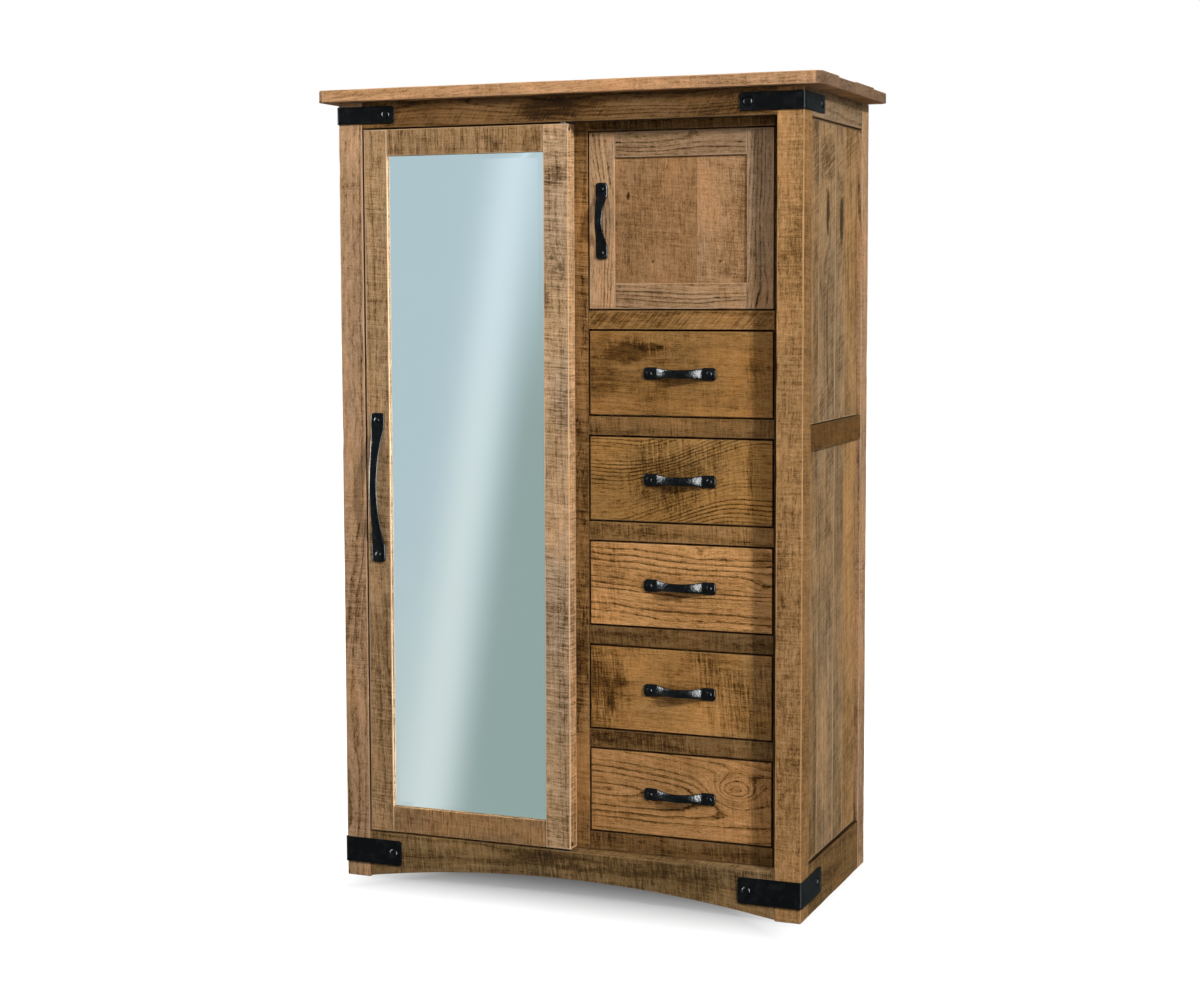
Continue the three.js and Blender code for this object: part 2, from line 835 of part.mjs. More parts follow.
// Mirror door: four framing boards round a bevelled mirror, hung on two pivots
function buildMirrorDoor() {
  const x0 = -inner + mirror_door_side_gap;
  const x1 = mirror_door_right;
  const w = mirror_frame_width;
  const t = mirror_door_thickness;
  const see = box(x0 + w, x1 - w, 0, t, door_base + w, door_top - w);
  const pocket = block(
    box(
      see.low.x - mirror_rebate,
      see.high.x + mirror_rebate,
      mirror_setback,
      t + overrun,
      see.low.z - mirror_rebate,
      see.high.z + mirror_rebate
    )
  );
  const left = board(box(x0, x0 + w, 0, t, door_base, door_top), 'z');
  const right = board(box(x1 - w, x1, 0, t, door_base, door_top), 'z');
  const rail_x0 = x0 + w + seat_gap;
  const rail_x1 = x1 - w - seat_gap;
  const lower = board(box(rail_x0, rail_x1, 0, t, door_base, door_base + w), 'x');
  const upper = board(box(rail_x0, rail_x1, 0, t, door_top - w, door_top), 'x');

  const hole = pivot_radius + seat_gap;
  const screw_hole = pivot_screw_radius + seat_gap;
  const head_hole = pivot_screw_head_radius + seat_gap;
  const ends = [
    { name: 'bottom', z: door_base, up: 1 },
    { name: 'top', z: door_top, up: -1 },
  ];
  const drillings = [];
  for (const { z, up } of ends) {
    const from = Math.min(-up * overrun, up * (pivot_hold + seat_gap));
    const to = Math.max(-up * overrun, up * (pivot_hold + seat_gap));
    drillings.push(pin(hole, 'z', from, to, pivot_x, pivot_y, z));
    const screw_z = z + up * pivot_screw_drop;
    drillings.push(pin(screw_hole, 'x', 0, pivot_inset + overrun, pivot_x, pivot_y, screw_z));
    const seat = pivot_inset - pivot_screw_head_sink - seat_gap;
    drillings.push(pin(head_hole, 'x', seat, pivot_inset + overrun, pivot_x, pivot_y, screw_z));
  }
  add(mirror_door, 'mirror_door_left_stile', cut(left, pocket), 'pale');
  add(mirror_door, 'mirror_door_right_stile', cut(right, pocket, ...drillings), 'pale');
  add(mirror_door, 'mirror_door_bottom_rail', cut(lower, pocket), 'pale');
  add(mirror_door, 'mirror_door_top_rail', cut(upper, pocket), 'pale');

  // The pins turn in the front rails. Each is locked in the door by a screw whose black
  // head shows on the door's edge, and a collar fills the gap that the door turns in.
  for (const { name, z, up } of ends) {
    const gap = up > 0 ? mirror_door_bottom_gap : mirror_door_top_gap;
    const reach = gap + overrun;
    const collar = gap - 2 * seat_gap;
    const profile = [
      [0, -reach],
      [pivot_radius, -reach],
      [pivot_radius, -seat_gap - collar],
      [pivot_collar_radius, -seat_gap - collar],
      [pivot_collar_radius, -seat_gap],
      [pivot_radius, -seat_gap],
      [pivot_radius, pivot_hold],
      [0, pivot_hold],
    ];
    const turned = up > 0 ? profile : profile.map(([r, h]) => [r, -h]).reverse();
    const pivot = revolved(turned, 'z', pivot_x, pivot_y, z, round_steps);
    const screw_z = z + up * pivot_screw_drop;
    const seat = pivot_inset - pivot_screw_head_sink;
    const shank = pin(pivot_screw_radius, 'x', 0, seat + seat_gap, pivot_x, pivot_y, screw_z);
    const head = dome(
      pivot_screw_head_radius,
      pivot_screw_head_height,
      pivot_screw_head_sink,
      'x',
      mirror_door_right,
      pivot_y,
      screw_z
    );
    add(mirror_door, `mirror_door_${name}_pivot`, join(pivot, shank, head), 'iron');
  }

  // The mirror's face slopes back in a narrow bevel all round.
  const g = mirror_rebate - seat_gap;
  const glass_front = mirror_setback + seat_gap;
  const outer = box(
    see.low.x - g,
    see.high.x + g,
    glass_front,
    glass_front + mirror_thickness,
    see.low.z - g,
    see.high.z + g
  );
  const flat = mirror_bevel_width + mirror_rebate;
  add(mirror_door, 'mirror_glass', bevelled(outer, flat, mirror_bevel_depth), 'mirror');

  const y2 = outer.high.y + seat_gap;
  const y3 = y2 + mirror_backing_thickness;
  const backing = box(outer.low.x, outer.high.x, y2, y3, outer.low.z, outer.high.z);
  add(mirror_door, 'mirror_backing', block(backing), 'dark');
  const pull_z = (door_base + door_top) / 2 - mirror_pull_drop;
  addPull(mirror_door, 'mirror_door_pull', long_pull, x0 + w / 2, 0, pull_z, true);
}

// A plate whose face is raised inside a sloping border.
function bevelled(span, width, depth) {
  const { low, high } = span;
  const ring = (y, inset) => [
    [low.x + inset, y, low.z + inset],
    [high.x - inset, y, low.z + inset],
    [high.x - inset, y, high.z - inset],
    [low.x + inset, y, high.z - inset],
  ];
  const rings = [ring(low.y, width), ring(low.y + depth, 0), ring(high.y, 0)];
  const faces = [0, 1, 2, 0, 2, 3];
  const around = rings[0].length;
  for (let i = 0; i + 1 < rings.length; i += 1) {
    for (let j = 0; j < around; j += 1) {
      const a = i * around + j;
      const b = i * around + ((j + 1) % around);
      faces.push(a, a + around, b + around, a, b + around, b);
    }
  }
  const last = (rings.length - 1) * around;
  faces.push(last, last + 2, last + 1, last, last + 3, last + 2);
  const geometry = new THREE.BufferGeometry();
  geometry.setAttribute('position', new THREE.Float32BufferAttribute(rings.flat(2), 3));
  geometry.setIndex(faces);
  return solid(geometry);
}

// Small door: a glued frame with its two hinge pins, and a panel of two boards
function buildSmallDoor() {
  const x0 = bank_left + front_gap;
  const x1 = bank_right - front_gap;
  const z0 = compartment_base + front_gap;
  const z1 = bank_top_rail_base - front_gap;
  const y0 = bank_recess;
  const y1 = bank_recess + small_door_thickness;
  const s = small_stile_width;
  const r = small_rail_height;
  const lap = arris + seat_gap;
  const frame = join(
    board(box(x0, x0 + s, y0, y1, z0, z1), 'z'),
    board(box(x1 - s, x1, y0, y1, z0, z1), 'z'),
    block(box(x0 + s - lap, x1 - s + lap, y0, y1, z0, z0 + r)),
    block(box(x0 + s - lap, x1 - s + lap, y0, y1, z1 - r, z1))
  );
  const reach = tongue - seat_gap;
  const panel = box(
    x0 + s - reach,
    x1 - s + reach,
    y0 + small_panel_recess,
    y0 + small_panel_recess + small_panel_thickness,
    z0 + r - reach,
    z1 - r + reach
  );
  const pin_reach = small_pivot_reach + front_gap - seat_gap;
  const pins = [
    pin(small_pivot_radius, 'z', -pin_reach, overrun, small_pivot_x, small_pivot_y, z0),
    pin(small_pivot_radius, 'z', -overrun, pin_reach, small_pivot_x, small_pivot_y, z1),
  ];
  add(small_door, 'small_door_frame', join(cut(frame, block(grown(panel))), ...pins), 'pale');
  const outline = seamed(panel.low.x, panel.high.x, panel.high.y, panel.low.y, [small_panel_seam_share]);
  add(small_door, 'small_door_panel', prism(outline, 'z', panel.low.z, panel.high.z), 'oak');
  addPull(small_door, 'small_door_pull', short_pull, x0 + s / 2, y0, (z0 + z1) / 2, true);
}

// Drawers: a solid front, an open box behind it and a pull
function buildDrawers() {
  for (let i = 0; i < drawer_count; i += 1) {
    const drawer = new THREE.Group();
    cabinet.add(drawer);
    const base = bank_base_height + (drawer_count - 1 - i) * bank_pitch;
    const x0 = bank_left + front_gap;
    const x1 = bank_right - front_gap;
    const z0 = base + front_gap;
    const z1 = base + drawer_opening_height - front_gap;
    const y1 = bank_recess + drawer_front_thickness;
    add(drawer, `drawer_${i + 1}_front`, board(box(x0, x1, bank_recess, y1, z0, z1), 'x'), 'pale');

    const tray_base = base + seat_gap;
    const tray = box(
      box_left,
      box_right,
      y1 + seat_gap,
      y1 + seat_gap + drawer_box_depth,
      tray_base,
      tray_base + drawer_box_height
    );
    const inside = box(
      tray.low.x + drawer_wall,
      tray.high.x - drawer_wall,
      tray.low.y + drawer_wall,
      tray.high.y - drawer_wall,
      tray_base + drawer_bottom_rise + drawer_bottom_thickness,
      tray.high.z + overrun
    );
    const under = box(
      inside.low.x,
      inside.high.x,
      inside.low.y,
      inside.high.y,
      tray_base - overrun,
      tray_base + drawer_bottom_rise
    );
    add(drawer, `drawer_${i + 1}_box`, cut(block(tray), block(inside), block(under)), 'drawer_lining');
    addPull(drawer, `drawer_${i + 1}_pull`, short_pull, (x0 + x1) / 2, bank_recess, (z0 + z1) / 2, false);
  }
}

// Corner straps: flat bar bent round the front corners and held by a domed screw each way
function cornerStrap(z0, height) {
  const t = strap_plate_thickness;
  const lie = seat_gap;
  const x_out = half + lie + t;
  const y_out = -lie - t;
  const r = strap_bend_radius;
  const bent = new THREE.Shape();
  bent.moveTo(half - strap_front_leg, -lie);
  bent.lineTo(half - strap_front_leg, y_out);
  bent.lineTo(x_out - r, y_out);
  bent.absarc(x_out - r, y_out + r, r, -Math.PI / 2, 0);
  bent.lineTo(x_out, strap_side_leg);
  bent.lineTo(half + lie, strap_side_leg);
  bent.lineTo(half + lie, -lie);
  bent.closePath();
  const bar = prism(bent, 'z', z0, z0 + height);

  // Each end is rounded by keeping what lies inside a tab shape.
  const e = strap_end_radius;
  const z1 = z0 + height;
  const front = new THREE.Shape();
  const x_end = half - strap_front_leg;
  front.moveTo(z0, x_out + overrun);
  front.lineTo(z0, x_end + e);
  front.absarc(z0 + e, x_end + e, e, Math.PI, (3 * Math.PI) / 2);
  front.absarc(z1 - e, x_end + e, e, (3 * Math.PI) / 2, 2 * Math.PI);
  front.lineTo(z1, x_out + overrun);
  front.closePath();
  const side = new THREE.Shape();
  side.moveTo(y_out - overrun, z0);
  side.lineTo(strap_side_leg - e, z0);
  side.absarc(strap_side_leg - e, z0 + e, e, -Math.PI / 2, 0);
  side.absarc(strap_side_leg - e, z1 - e, e, 0, Math.PI / 2);
  side.lineTo(y_out - overrun, z1);
  side.closePath();
  const reach = case_depth;
  const shaped = bar
    .intersect(prism(front, 'y', y_out - overrun, reach))
    .intersect(prism(side, 'x', -reach, x_out + overrun));

  const z = z0 + height / 2;
  const sink = t / 2;
  const front_screw = dome(
    strap_screw_radius,
    strap_screw_dome,
    sink,
    '-y',
    half - strap_front_leg + strap_front_screw_inset,
    y_out,
    z
  );
  const side_screw = dome(
    strap_screw_radius,
    strap_screw_dome,
    sink,
    'x',
    x_out,
    strap_side_leg - strap_side_screw_inset,
    z
  );
  return join(shaped, front_screw, side_screw);
}

function buildStraps() {
  const top_base = case_top - top_strap_drop - top_strap_height;
  const places = { top: [top_base, top_strap_height], bottom: [bottom_strap_base, bottom_strap_height] };
  for (const [name, [z0, height]] of Object.entries(places)) {
    const strap = cornerStrap(z0, height);
    add(carcase, `${name}_right_corner_strap`, strap, 'strap');
    add(carcase, `${name}_left_corner_strap`, flipped(strap), 'strap');
  }
}

buildTop();
buildPosts();
buildFrontRails();
buildSides();
buildInside();
buildFaceFrame();
buildWebFrames();
buildMirrorDoor();
buildSmallDoor();
buildDrawers();
buildStraps();

// The reference point is the middle of the whole piece's footprint, on the floor. The long
// pull reaches further forward than the top board.
const front_reach = seat_gap + long_pull_bow + strap_thickness;
const group = new THREE.Group();
cabinet.position.y = -(case_depth - front_reach) / 2;
group.add(cabinet);
export default group;
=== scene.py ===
# %% [markdown]
# A chifforobe is half wardrobe and half chest of drawers. This one is built of
# sawn old boards, with a mirror door on the left, a small door and five drawers
# on the right, and black forged iron. The solids come from the packed part; this
# lesson gives them a skin: each board becomes a worn board with its own grain.

# %% Load the frame
import math
import bpy
import numpy as np
from mathutils import Matrix


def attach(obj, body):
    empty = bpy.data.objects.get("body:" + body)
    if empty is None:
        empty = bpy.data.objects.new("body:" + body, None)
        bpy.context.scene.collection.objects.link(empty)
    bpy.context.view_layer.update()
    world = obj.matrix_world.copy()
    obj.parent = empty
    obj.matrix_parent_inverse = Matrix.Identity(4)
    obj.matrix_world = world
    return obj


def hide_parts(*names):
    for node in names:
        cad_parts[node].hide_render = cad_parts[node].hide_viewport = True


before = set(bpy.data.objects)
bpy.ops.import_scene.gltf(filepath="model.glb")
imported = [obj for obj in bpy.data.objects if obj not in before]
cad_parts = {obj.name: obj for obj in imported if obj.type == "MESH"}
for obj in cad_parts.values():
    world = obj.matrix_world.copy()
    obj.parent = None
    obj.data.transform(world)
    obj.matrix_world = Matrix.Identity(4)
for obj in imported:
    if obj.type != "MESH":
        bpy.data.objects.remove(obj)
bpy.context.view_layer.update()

# %% [markdown]
# The cabinet was measured in millimetres from the middle of its front, so the
# boards below are written that way, and moved to the frame at the very end.
# The frame's origin lies in the middle of the depth, on the floor.

# %% Measures shared by many pieces
FRONT_TO_MIDDLE = np.array([0.0, 251.85, 0.0])
case_half, case_height, case_depth = 554.0, 1800.7, 536.0
post_width, post_depth, back_post_depth = 60.0, 62.0, 56.0
opening_half = case_half - post_width
back_post_front = case_depth - back_post_depth
under_top, on_floor = 1800.4, 108.3
rail_reach, rail_back = 493.7, 41.7
drawer_bases = [1092.0, 856.5, 621.0, 385.5, 150.0]
print("the case is", 2 * case_half, "mm wide; drawers start at", drawer_bases, "mm above the floor")

# %% [markdown]
# Every skin here is a closed tube: rings of points carried along a path, with a
# point closing each end. A board, a forged strap and a screw head differ only in
# how the rings are worked out. A skin that comes out inside out, as a mirrored
# one does, is turned by looking at the sign of the volume it encloses.

# %% Rings to skin
def close_rings(rings):
    """Points and faces of rings (n, m, 3): four-sided faces join ring i to ring i + 1,
    and three-sided ones join the first and last ring to a point at its middle."""
    n, m, _ = rings.shape
    here = np.arange(n * m).reshape(n, m)
    following = np.roll(here, -1, axis=1)
    sides = np.stack([here[:-1], following[:-1], following[1:], here[1:]], -1).reshape(-1, 4)
    start = np.stack([following[0], here[0], np.full(m, n * m)], -1)
    end = np.stack([here[-1], following[-1], np.full(m, n * m + 1)], -1)
    points = np.concatenate([rings.reshape(-1, 3), rings[[0, -1]].mean(axis=1)])
    return points, sides, np.concatenate([start, end])


def outward(points, sides, fans):
    """The same faces, turned over where the volume, the sum of corner dot (corner x
    corner) over six, is below zero."""
    tris = np.concatenate([fans, sides[:, :3], sides[:, [0, 2, 3]]])
    a, b, c = points[tris[:, 0]], points[tris[:, 1]], points[tris[:, 2]]
    volume = (a * np.cross(b, c)).sum() / 6
    return (sides, fans) if volume > 0 else (sides[:, ::-1], fans[:, ::-1])


print("a tube of 2 rings of 4 points has", len(close_rings(np.zeros((2, 4, 3)))[0]), "points")

# %% [markdown]
# Nothing handmade is quite regular. Adding up a few long sine waves, each running in
# a direction of its own, gives a relief that never repeats and has no steps in it.

# %% A random relief
def ripple(points, seed, size):
    """A smooth random relief from about -1 to 1: the mean of eight sine waves, each in
    a random direction and about `size` mm long."""
    chance = np.random.default_rng(seed)
    waves = chance.normal(size=(3, 8)) * 2.4 / size
    return np.sin(points @ waves + chance.uniform(0, 6.28, 8)).mean(axis=-1) * 1.8


print("ripple at one point:", round(float(ripple(np.ones(3), 1, 60)), 3))

# %% [markdown]
# Smooth shading bends the light wherever two faces meet. A ring of points placed a
# millimetre in from each arris keeps that bend inside the arris, so that the flat
# face beside it stays flat to the eye.

# %% Places along and round a board
CORNERS = np.array([[1, 1], [-1, 1], [-1, -1], [1, -1]], float)
END_TURN = np.radians([84, 58, 28])


def stations(length, step):
    """Even places along a length, with one more a millimetre in from each end."""
    if length < 3:
        return np.array([0.0, length])
    inner = np.linspace(1, length - 1, max(2, int(round((length - 2) / step)) + 1))
    return np.concatenate([[0.0], inner, [length]])


def lengthwise(half_length, radius, step):
    """Where the rings lie along x, and how much of the arris is left at each. Turned by t
    round an end, a ring lies at half_length - radius (1 - sin t) and keeps cos t."""
    body = stations(2 * (half_length - radius), step) - (half_length - radius)
    ends = radius * (1 - np.sin(END_TURN))
    x = np.concatenate([-half_length + ends, body, half_length - ends[::-1]])
    return x, np.concatenate([np.cos(END_TURN), np.ones(len(body)), np.cos(END_TURN[::-1])])


def round_trip(half, radius, step):
    """One trip round the cross-section: the corner each point belongs to, its share of
    the way to the next corner, and the angle it faces."""
    which, share, angle = [], [], []
    for k in range(4):
        side = 2 * half[1 + k % 2] - 2 * radius
        reach = stations(side, step) / side
        which += [k] * (2 + len(reach))
        share += [0, 0, *reach]
        angle += [90 * k + 30, 90 * k + 60] + [90 * k + 90] * len(reach)
    return np.array(which), np.array(share), np.radians(angle)


print("a metre of board has", len(stations(1000, 9.0)), "stations")

# %% [markdown]
# Old boards have arrises rounded by wear, more in some places than in others, and
# faces that are never quite flat. The skin of a board is a rounded box whose corner
# radius changes along each arris, and whose faces sink by a fraction of a
# millimetre here and there. Boards glued side by side keep straight edges.

# %% The worn board
WORN_PATCH, SUNKEN_PATCH = 70, 60


def worn_rings(size, arris=1.5, step=9.0, wobble=0.3, seed=1, caps=(0.5, 0.98), jointed=False):
    """Rings of a board of that size, along x. A ring point is a point of a core
    rectangle plus r cos(end) times (cos a, sin a), with r the worn radius of its arris.
    The caps are smaller copies of the end rings, and a jointed board sinks in z only."""
    half = np.asarray(size, float) / 2
    r0 = min(arris, half[1:].min() * 0.7)
    x, shrink = lengthwise(half[0], r0, step)
    along = np.stack([x, 0 * x, 0 * x], -1)
    worn = np.stack([ripple(along, seed * 7 + k, WORN_PATCH) for k in range(4)], 1).clip(0, 1) ** 2
    radius = r0 * (0.75 + 1.3 * worn)
    core = CORNERS * (half[1:] - radius[..., None])
    which, share, angle = round_trip(half, r0, step)
    after = (which + 1) % 4
    middle = core[:, which] * (1 - share[:, None]) + core[:, after] * share[:, None]
    r = radius[:, which] * (1 - share) + radius[:, after] * share
    facing = np.stack([np.cos(angle), np.sin(angle)], -1)
    flat = middle + (r * shrink[:, None])[..., None] * facing
    rings = np.concatenate([np.broadcast_to(x[:, None, None], flat[..., :1].shape), flat], -1)
    sink = wobble * (0.5 - 0.5 * ripple(rings, seed, SUNKEN_PATCH).clip(-1, 1))
    rings[..., 1:] -= sink[..., None] * facing * ([0, 1] if jointed else [1, 1])
    first, last = (np.array([end * [1, s, s] for s in caps]) for end in (rings[0], rings[-1]))
    return np.concatenate([first, rings, last[::-1]])


print("a board of 400 x 60 x 20 mm has rings of shape", worn_rings((400, 60, 20)).shape)

# %% [markdown]
# A board is named by the box it fills. It is made lying along x, and then laid along
# its own grain. Iron needs no grain, and the left side of the case is the right side
# seen in a mirror, so two more helpers make a plain skin and a mirrored one.

# %% Boards, plain skins and mirrored skins
def board(span, grain, finish, tint=(1.0, 0.5), shape=None, seed=None, **wear):
    """A board between span's low and high x, y and z, with its grain along x, y or z.
    Its own coordinates, along, across and through it, are kept for the wood finish."""
    span = np.array(span, float)
    size, centre = span[:, 1] - span[:, 0], span.mean(axis=1)
    first = "xyz".index(grain)
    order = [first] + sorted((k for k in range(3) if k != first), key=lambda k: -size[k])
    seed = int(abs(centre @ [3, 5, 7])) % 9973 + 1 if seed is None else seed
    own, sides, fans = close_rings(worn_rings(size[order], seed=seed, **wear))
    moved = own if shape is None else shape(own.copy())
    points = np.empty_like(own)
    points[:, order] = moved + centre[order]
    sides, fans = outward(points, sides, fans)
    facts = (own / 1000, size[order] / 2000, (tint[0], tint[1], seed % 97 / 9.7))
    return {"points": points, "sides": sides, "fans": fans, "facts": facts, "finish": finish}


def plain(rings, finish):
    """A skin of any other rings, such as iron."""
    points, sides, fans = close_rings(rings)
    sides, fans = outward(points, sides, fans)
    return {"points": points, "sides": sides, "fans": fans, "facts": None, "finish": finish}


def flipped(part):
    """The part on the other side of the middle plane, x to -x."""
    points = part["points"] * [-1, 1, 1]
    sides, fans = outward(points, part["sides"], part["fans"])
    return {**part, "points": points, "sides": sides, "fans": fans}


SIDES = (("left", -1), ("right", 1))
print("pieces on both sides of the case:", SIDES)

# %% [markdown]
# A piece is one or more skins put into one mesh. Each point of a board keeps three
# facts: where it is in its board, how big the board is, and the board's tone. The
# wood finish reads them, so that boards in one piece still differ.

# %% From skins to a piece
FACTS = ("board_place", "board_half", "board_tone")
total_faces = []


def piece(name, parts, body):
    """Puts the skins into one mesh, in metres in the frame, rides it on its body and
    lets it stand for the solid of the same name."""
    points, faces, where, finishes, count = [], [], [], [], 0
    facts = {key: [] for key in FACTS}
    for part in parts:
        if part["finish"] not in finishes:
            finishes.append(part["finish"])
        points.append(part["points"])
        for some in (part["sides"], part["fans"]):
            faces += (some + count).tolist()
            where += [finishes.index(part["finish"])] * len(some)
        number = len(part["points"])
        for key, fact in zip(FACTS, part["facts"] or (part["points"] / 1000, (1, 1, 1), (1, 0.5, 0))):
            facts[key].append(np.broadcast_to(fact, (number, 3)))
        count += number
    mesh = bpy.data.meshes.new(name)
    mesh.from_pydata((np.concatenate(points) - FRONT_TO_MIDDLE) / 1000, [], faces)
    for key, values in facts.items():
        made = mesh.attributes.new(key, "FLOAT_VECTOR", "POINT")
        made.data.foreach_set("vector", np.concatenate(values).astype(np.float32).ravel())
    for finish in finishes:
        mesh.materials.append(finish)
    mesh.polygons.foreach_set("material_index", where)
    mesh.polygons.foreach_set("use_smooth", [True] * len(faces))
    mesh.update()
    made = bpy.data.objects.new(name, mesh)
    bpy.context.scene.collection.objects.link(made)
    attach(made, body)
    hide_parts(name.removesuffix("_skin"))
    total_faces.append(sum(len(f) - 2 for f in faces))


print("each point keeps", FACTS)

# %% [markdown]
# A finish is a chain of shader nodes. This little helper adds one node at a time and
# hands back its output, so that a finish reads like a recipe.

# %% The recipe helper
class Recipe:
    """Adds nodes to one node tree; numbers and outputs may be mixed freely."""

    def __init__(self, tree):
        self.tree = tree

    def node(self, kind, feeds=None, out=0, **options):
        """Adds a node and gives its output number `out`, or the node itself for None."""
        made = self.tree.nodes.new("ShaderNode" + kind)
        for key, value in options.items():
            setattr(made, key, value)
        for key, value in (feeds or {}).items():
            self.feed(made.inputs[key], value)
        return made if out is None else made.outputs[out]

    def feed(self, socket, value):
        """Links an output to the socket, or sets the socket's own number."""
        if isinstance(value, bpy.types.NodeSocket):
            self.tree.links.new(value, socket)
        else:
            socket.default_value = value

    def calc(self, operation, a, b=0.0, c=0.0):
        """One sum on numbers."""
        return self.node("Math", {0: a, 1: b, 2: c}, operation=operation)

    def vector(self, operation, a, b=(0, 0, 0)):
        """One sum on vectors."""
        return self.node("VectorMath", {0: a, 1: b}, operation=operation)

    def scaled(self, vector, factor):
        """The vector times one number."""
        return self.node("VectorMath", {0: vector, 3: factor}, operation="SCALE")

    def split(self, vector):
        """The vector's x, y and z."""
        return self.node("SeparateXYZ", {0: vector}, out=None).outputs

    def squares(self, a, b):
        """a^2 + b^2."""
        return self.calc("ADD", self.calc("MULTIPLY", a, a), self.calc("MULTIPLY", b, b))

    def noise(self, at, scale=1.0, detail=2.0, rough=0.5, out=0):
        """Cloudy noise about 1 / scale metres wide, around a half."""
        feeds = {"Vector": at, "Scale": scale, "Detail": detail, "Roughness": rough}
        return self.node("TexNoise", feeds, out=out)

    def ease(self, value, low, high, to_low=0.0, to_high=1.0):
        """A soft step from to_low to to_high while the value goes from low to high."""
        feeds = {"Value": value, "From Min": low, "From Max": high, "To Min": to_low, "To Max": to_high}
        return self.node("MapRange", feeds, interpolation_type="SMOOTHSTEP")

    def blend(self, share, a, b, mode="MIX"):
        """Colour a, with that share of colour b laid over it."""
        return self.node("Mix", {0: share, 6: a, 7: b}, out=2, data_type="RGBA", blend_type=mode)

    def tinted(self, base, share, tint):
        """base, multiplied by the tint for that share."""
        return self.blend(share, base, self.blend(1.0, base, tint + (1.0,), "MULTIPLY"))

    def weighed(self, *terms):
        """The sum of (output - middle) * weight over (output, middle, weight)."""
        total = None
        for value, middle, weight in terms:
            one = self.calc("MULTIPLY", self.calc("SUBTRACT", value, middle), weight)
            total = one if total is None else self.calc("ADD", total, one)
        return total


print("a recipe can", [name for name in vars(Recipe) if not name.startswith("_")])

# %% [markdown]
# Colours are easiest to name as they look on the screen, from 0 to 255. The renderer
# counts light instead, and half the screen value is only about a fifth of the light.

# %% A finish and its colours
finish_names = []


def linear(colour):
    """A colour written as 0 to 255 on the screen, as the light it stands for: the share
    c over 12.92 in the darks, and ((c + 0.055) / 1.055)^2.4 above them."""
    c = np.array(colour, float) / 255
    return tuple(np.where(c <= 0.04045, c / 12.92, ((c + 0.055) / 1.055) ** 2.4)) + (1.0,)


def new_finish(name, kind=Recipe, **sockets):
    """A material with its recipe and its shader, whose plain numbers are set here."""
    finish_names.append(name)
    made = bpy.data.materials.new(name)
    made.use_nodes = True
    made.node_tree.nodes.clear()
    recipe = kind(made.node_tree)
    shader = recipe.node("BsdfPrincipled", out=None)
    for key, value in sockets.items():
        shader.inputs[key.replace("_", " ")].default_value = value
    recipe.node("OutputMaterial", {"Surface": shader.outputs[0]}, out=None)
    return made, recipe, shader


print("screen grey 128 is", round(float(linear((128, 128, 128))[0]), 3), "of full light")

# %% [markdown]
# Wood lives in its board. The wood recipe reads the board's facts at each point, and
# moves the noise by the board's own chance number, so that no two boards match.

# %% Reading the board
class WoodRecipe(Recipe):
    """A recipe that knows the point's place in its board in metres (spot: along, across
    and through it), the board's half size, and its tone: strength, warmth, chance."""

    def __init__(self, tree):
        super().__init__(tree)
        self.place, self.half, tone = (self.node("Attribute", out=1, attribute_name=key) for key in FACTS)
        self.spot, self.tone = self.split(self.place), self.split(tone)
        self.shift = self.scaled((3.7, 1.9, 2.3), self.tone[2])
        self.apart = self.vector("ADD", self.place, self.shift)

    def there(self, scales, detail=2, rough=0.5, out=0, at=None):
        """Noise with its own fineness along, across and through the board."""
        at = self.apart if at is None else at
        return self.noise(self.vector("MULTIPLY", at, scales), 1, detail, rough, out)

    def oval(self, x, y, long, tall):
        """(dx / long)^2 + (dy / tall)^2, which is one on the rim of an oval round x, y."""
        dx = self.calc("DIVIDE", self.calc("SUBTRACT", self.spot[0], x), long)
        dy = self.calc("DIVIDE", self.calc("SUBTRACT", self.spot[1], y), tall)
        return self.squares(dx, dy)


print("a wood recipe can also", [name for name in vars(WoodRecipe) if not name.startswith("_")])

# %% [markdown]
# Wood is a stack of cones: each year adds a ring round the pith, and a sawn face cuts
# through them. So the figure is the distance from a slightly tilted pith line, bent by
# slow noise. A knot is a branch that the later rings had to grow round, so it pushes
# them aside. A sweep is a bow in the trunk, which turns the figure part of the way.

# %% Year rings
CENTRED = (0.5, 0.5, 0.5)


def year_rings(r, pith, tilt, wave, sweep, knots, knot_push):
    """The distance sqrt(across^2 + deep^2) from the pith line, with exp(-0.12 far) of each
    knot's size added; also the way across, and how far each knot's rim is."""
    slow = r.vector("SUBTRACT", r.there((1.5, 5.0, 5.0), out=1), CENTRED)
    quick = r.vector("SUBTRACT", r.there((9.0, 26.0, 26.0), out=1), CENTRED)
    bent = r.vector("ADD", r.place, r.vector("MULTIPLY", slow, (0, wave * 3, wave * 3)))
    at = r.split(r.vector("ADD", bent, r.vector("MULTIPLY", quick, (0, 0.009, 0.009))))
    across = r.calc("SUBTRACT", r.calc("MULTIPLY_ADD", r.spot[0], tilt[0], at[1]), pith[0])
    deep = r.calc("ADD", r.calc("MULTIPLY_ADD", r.spot[0], tilt[1], at[2]), pith[1])
    years = r.calc("SQRT", r.squares(across, deep))
    if sweep:
        start, end, bow = sweep
        turned = r.calc("MULTIPLY_ADD", r.spot[1], -0.4, r.spot[0])
        years = r.calc("SUBTRACT", years, r.ease(turned, start, end, 0.0, bow))
    rims = [r.oval(x, y, size * long, size) for x, y, size, long in knots]
    for far, (_, _, size, _) in zip(rims, knots):
        fading = r.calc("POWER", 2.718, r.calc("MULTIPLY", far, -0.12))
        years = r.calc("ADD", years, r.calc("MULTIPLY", fading, size * knot_push))
    return years, across, rims


print("a knot of 10 mm pushes the rings", round(10 * 2.2 * math.exp(-0.12), 1), "mm aside at its rim")

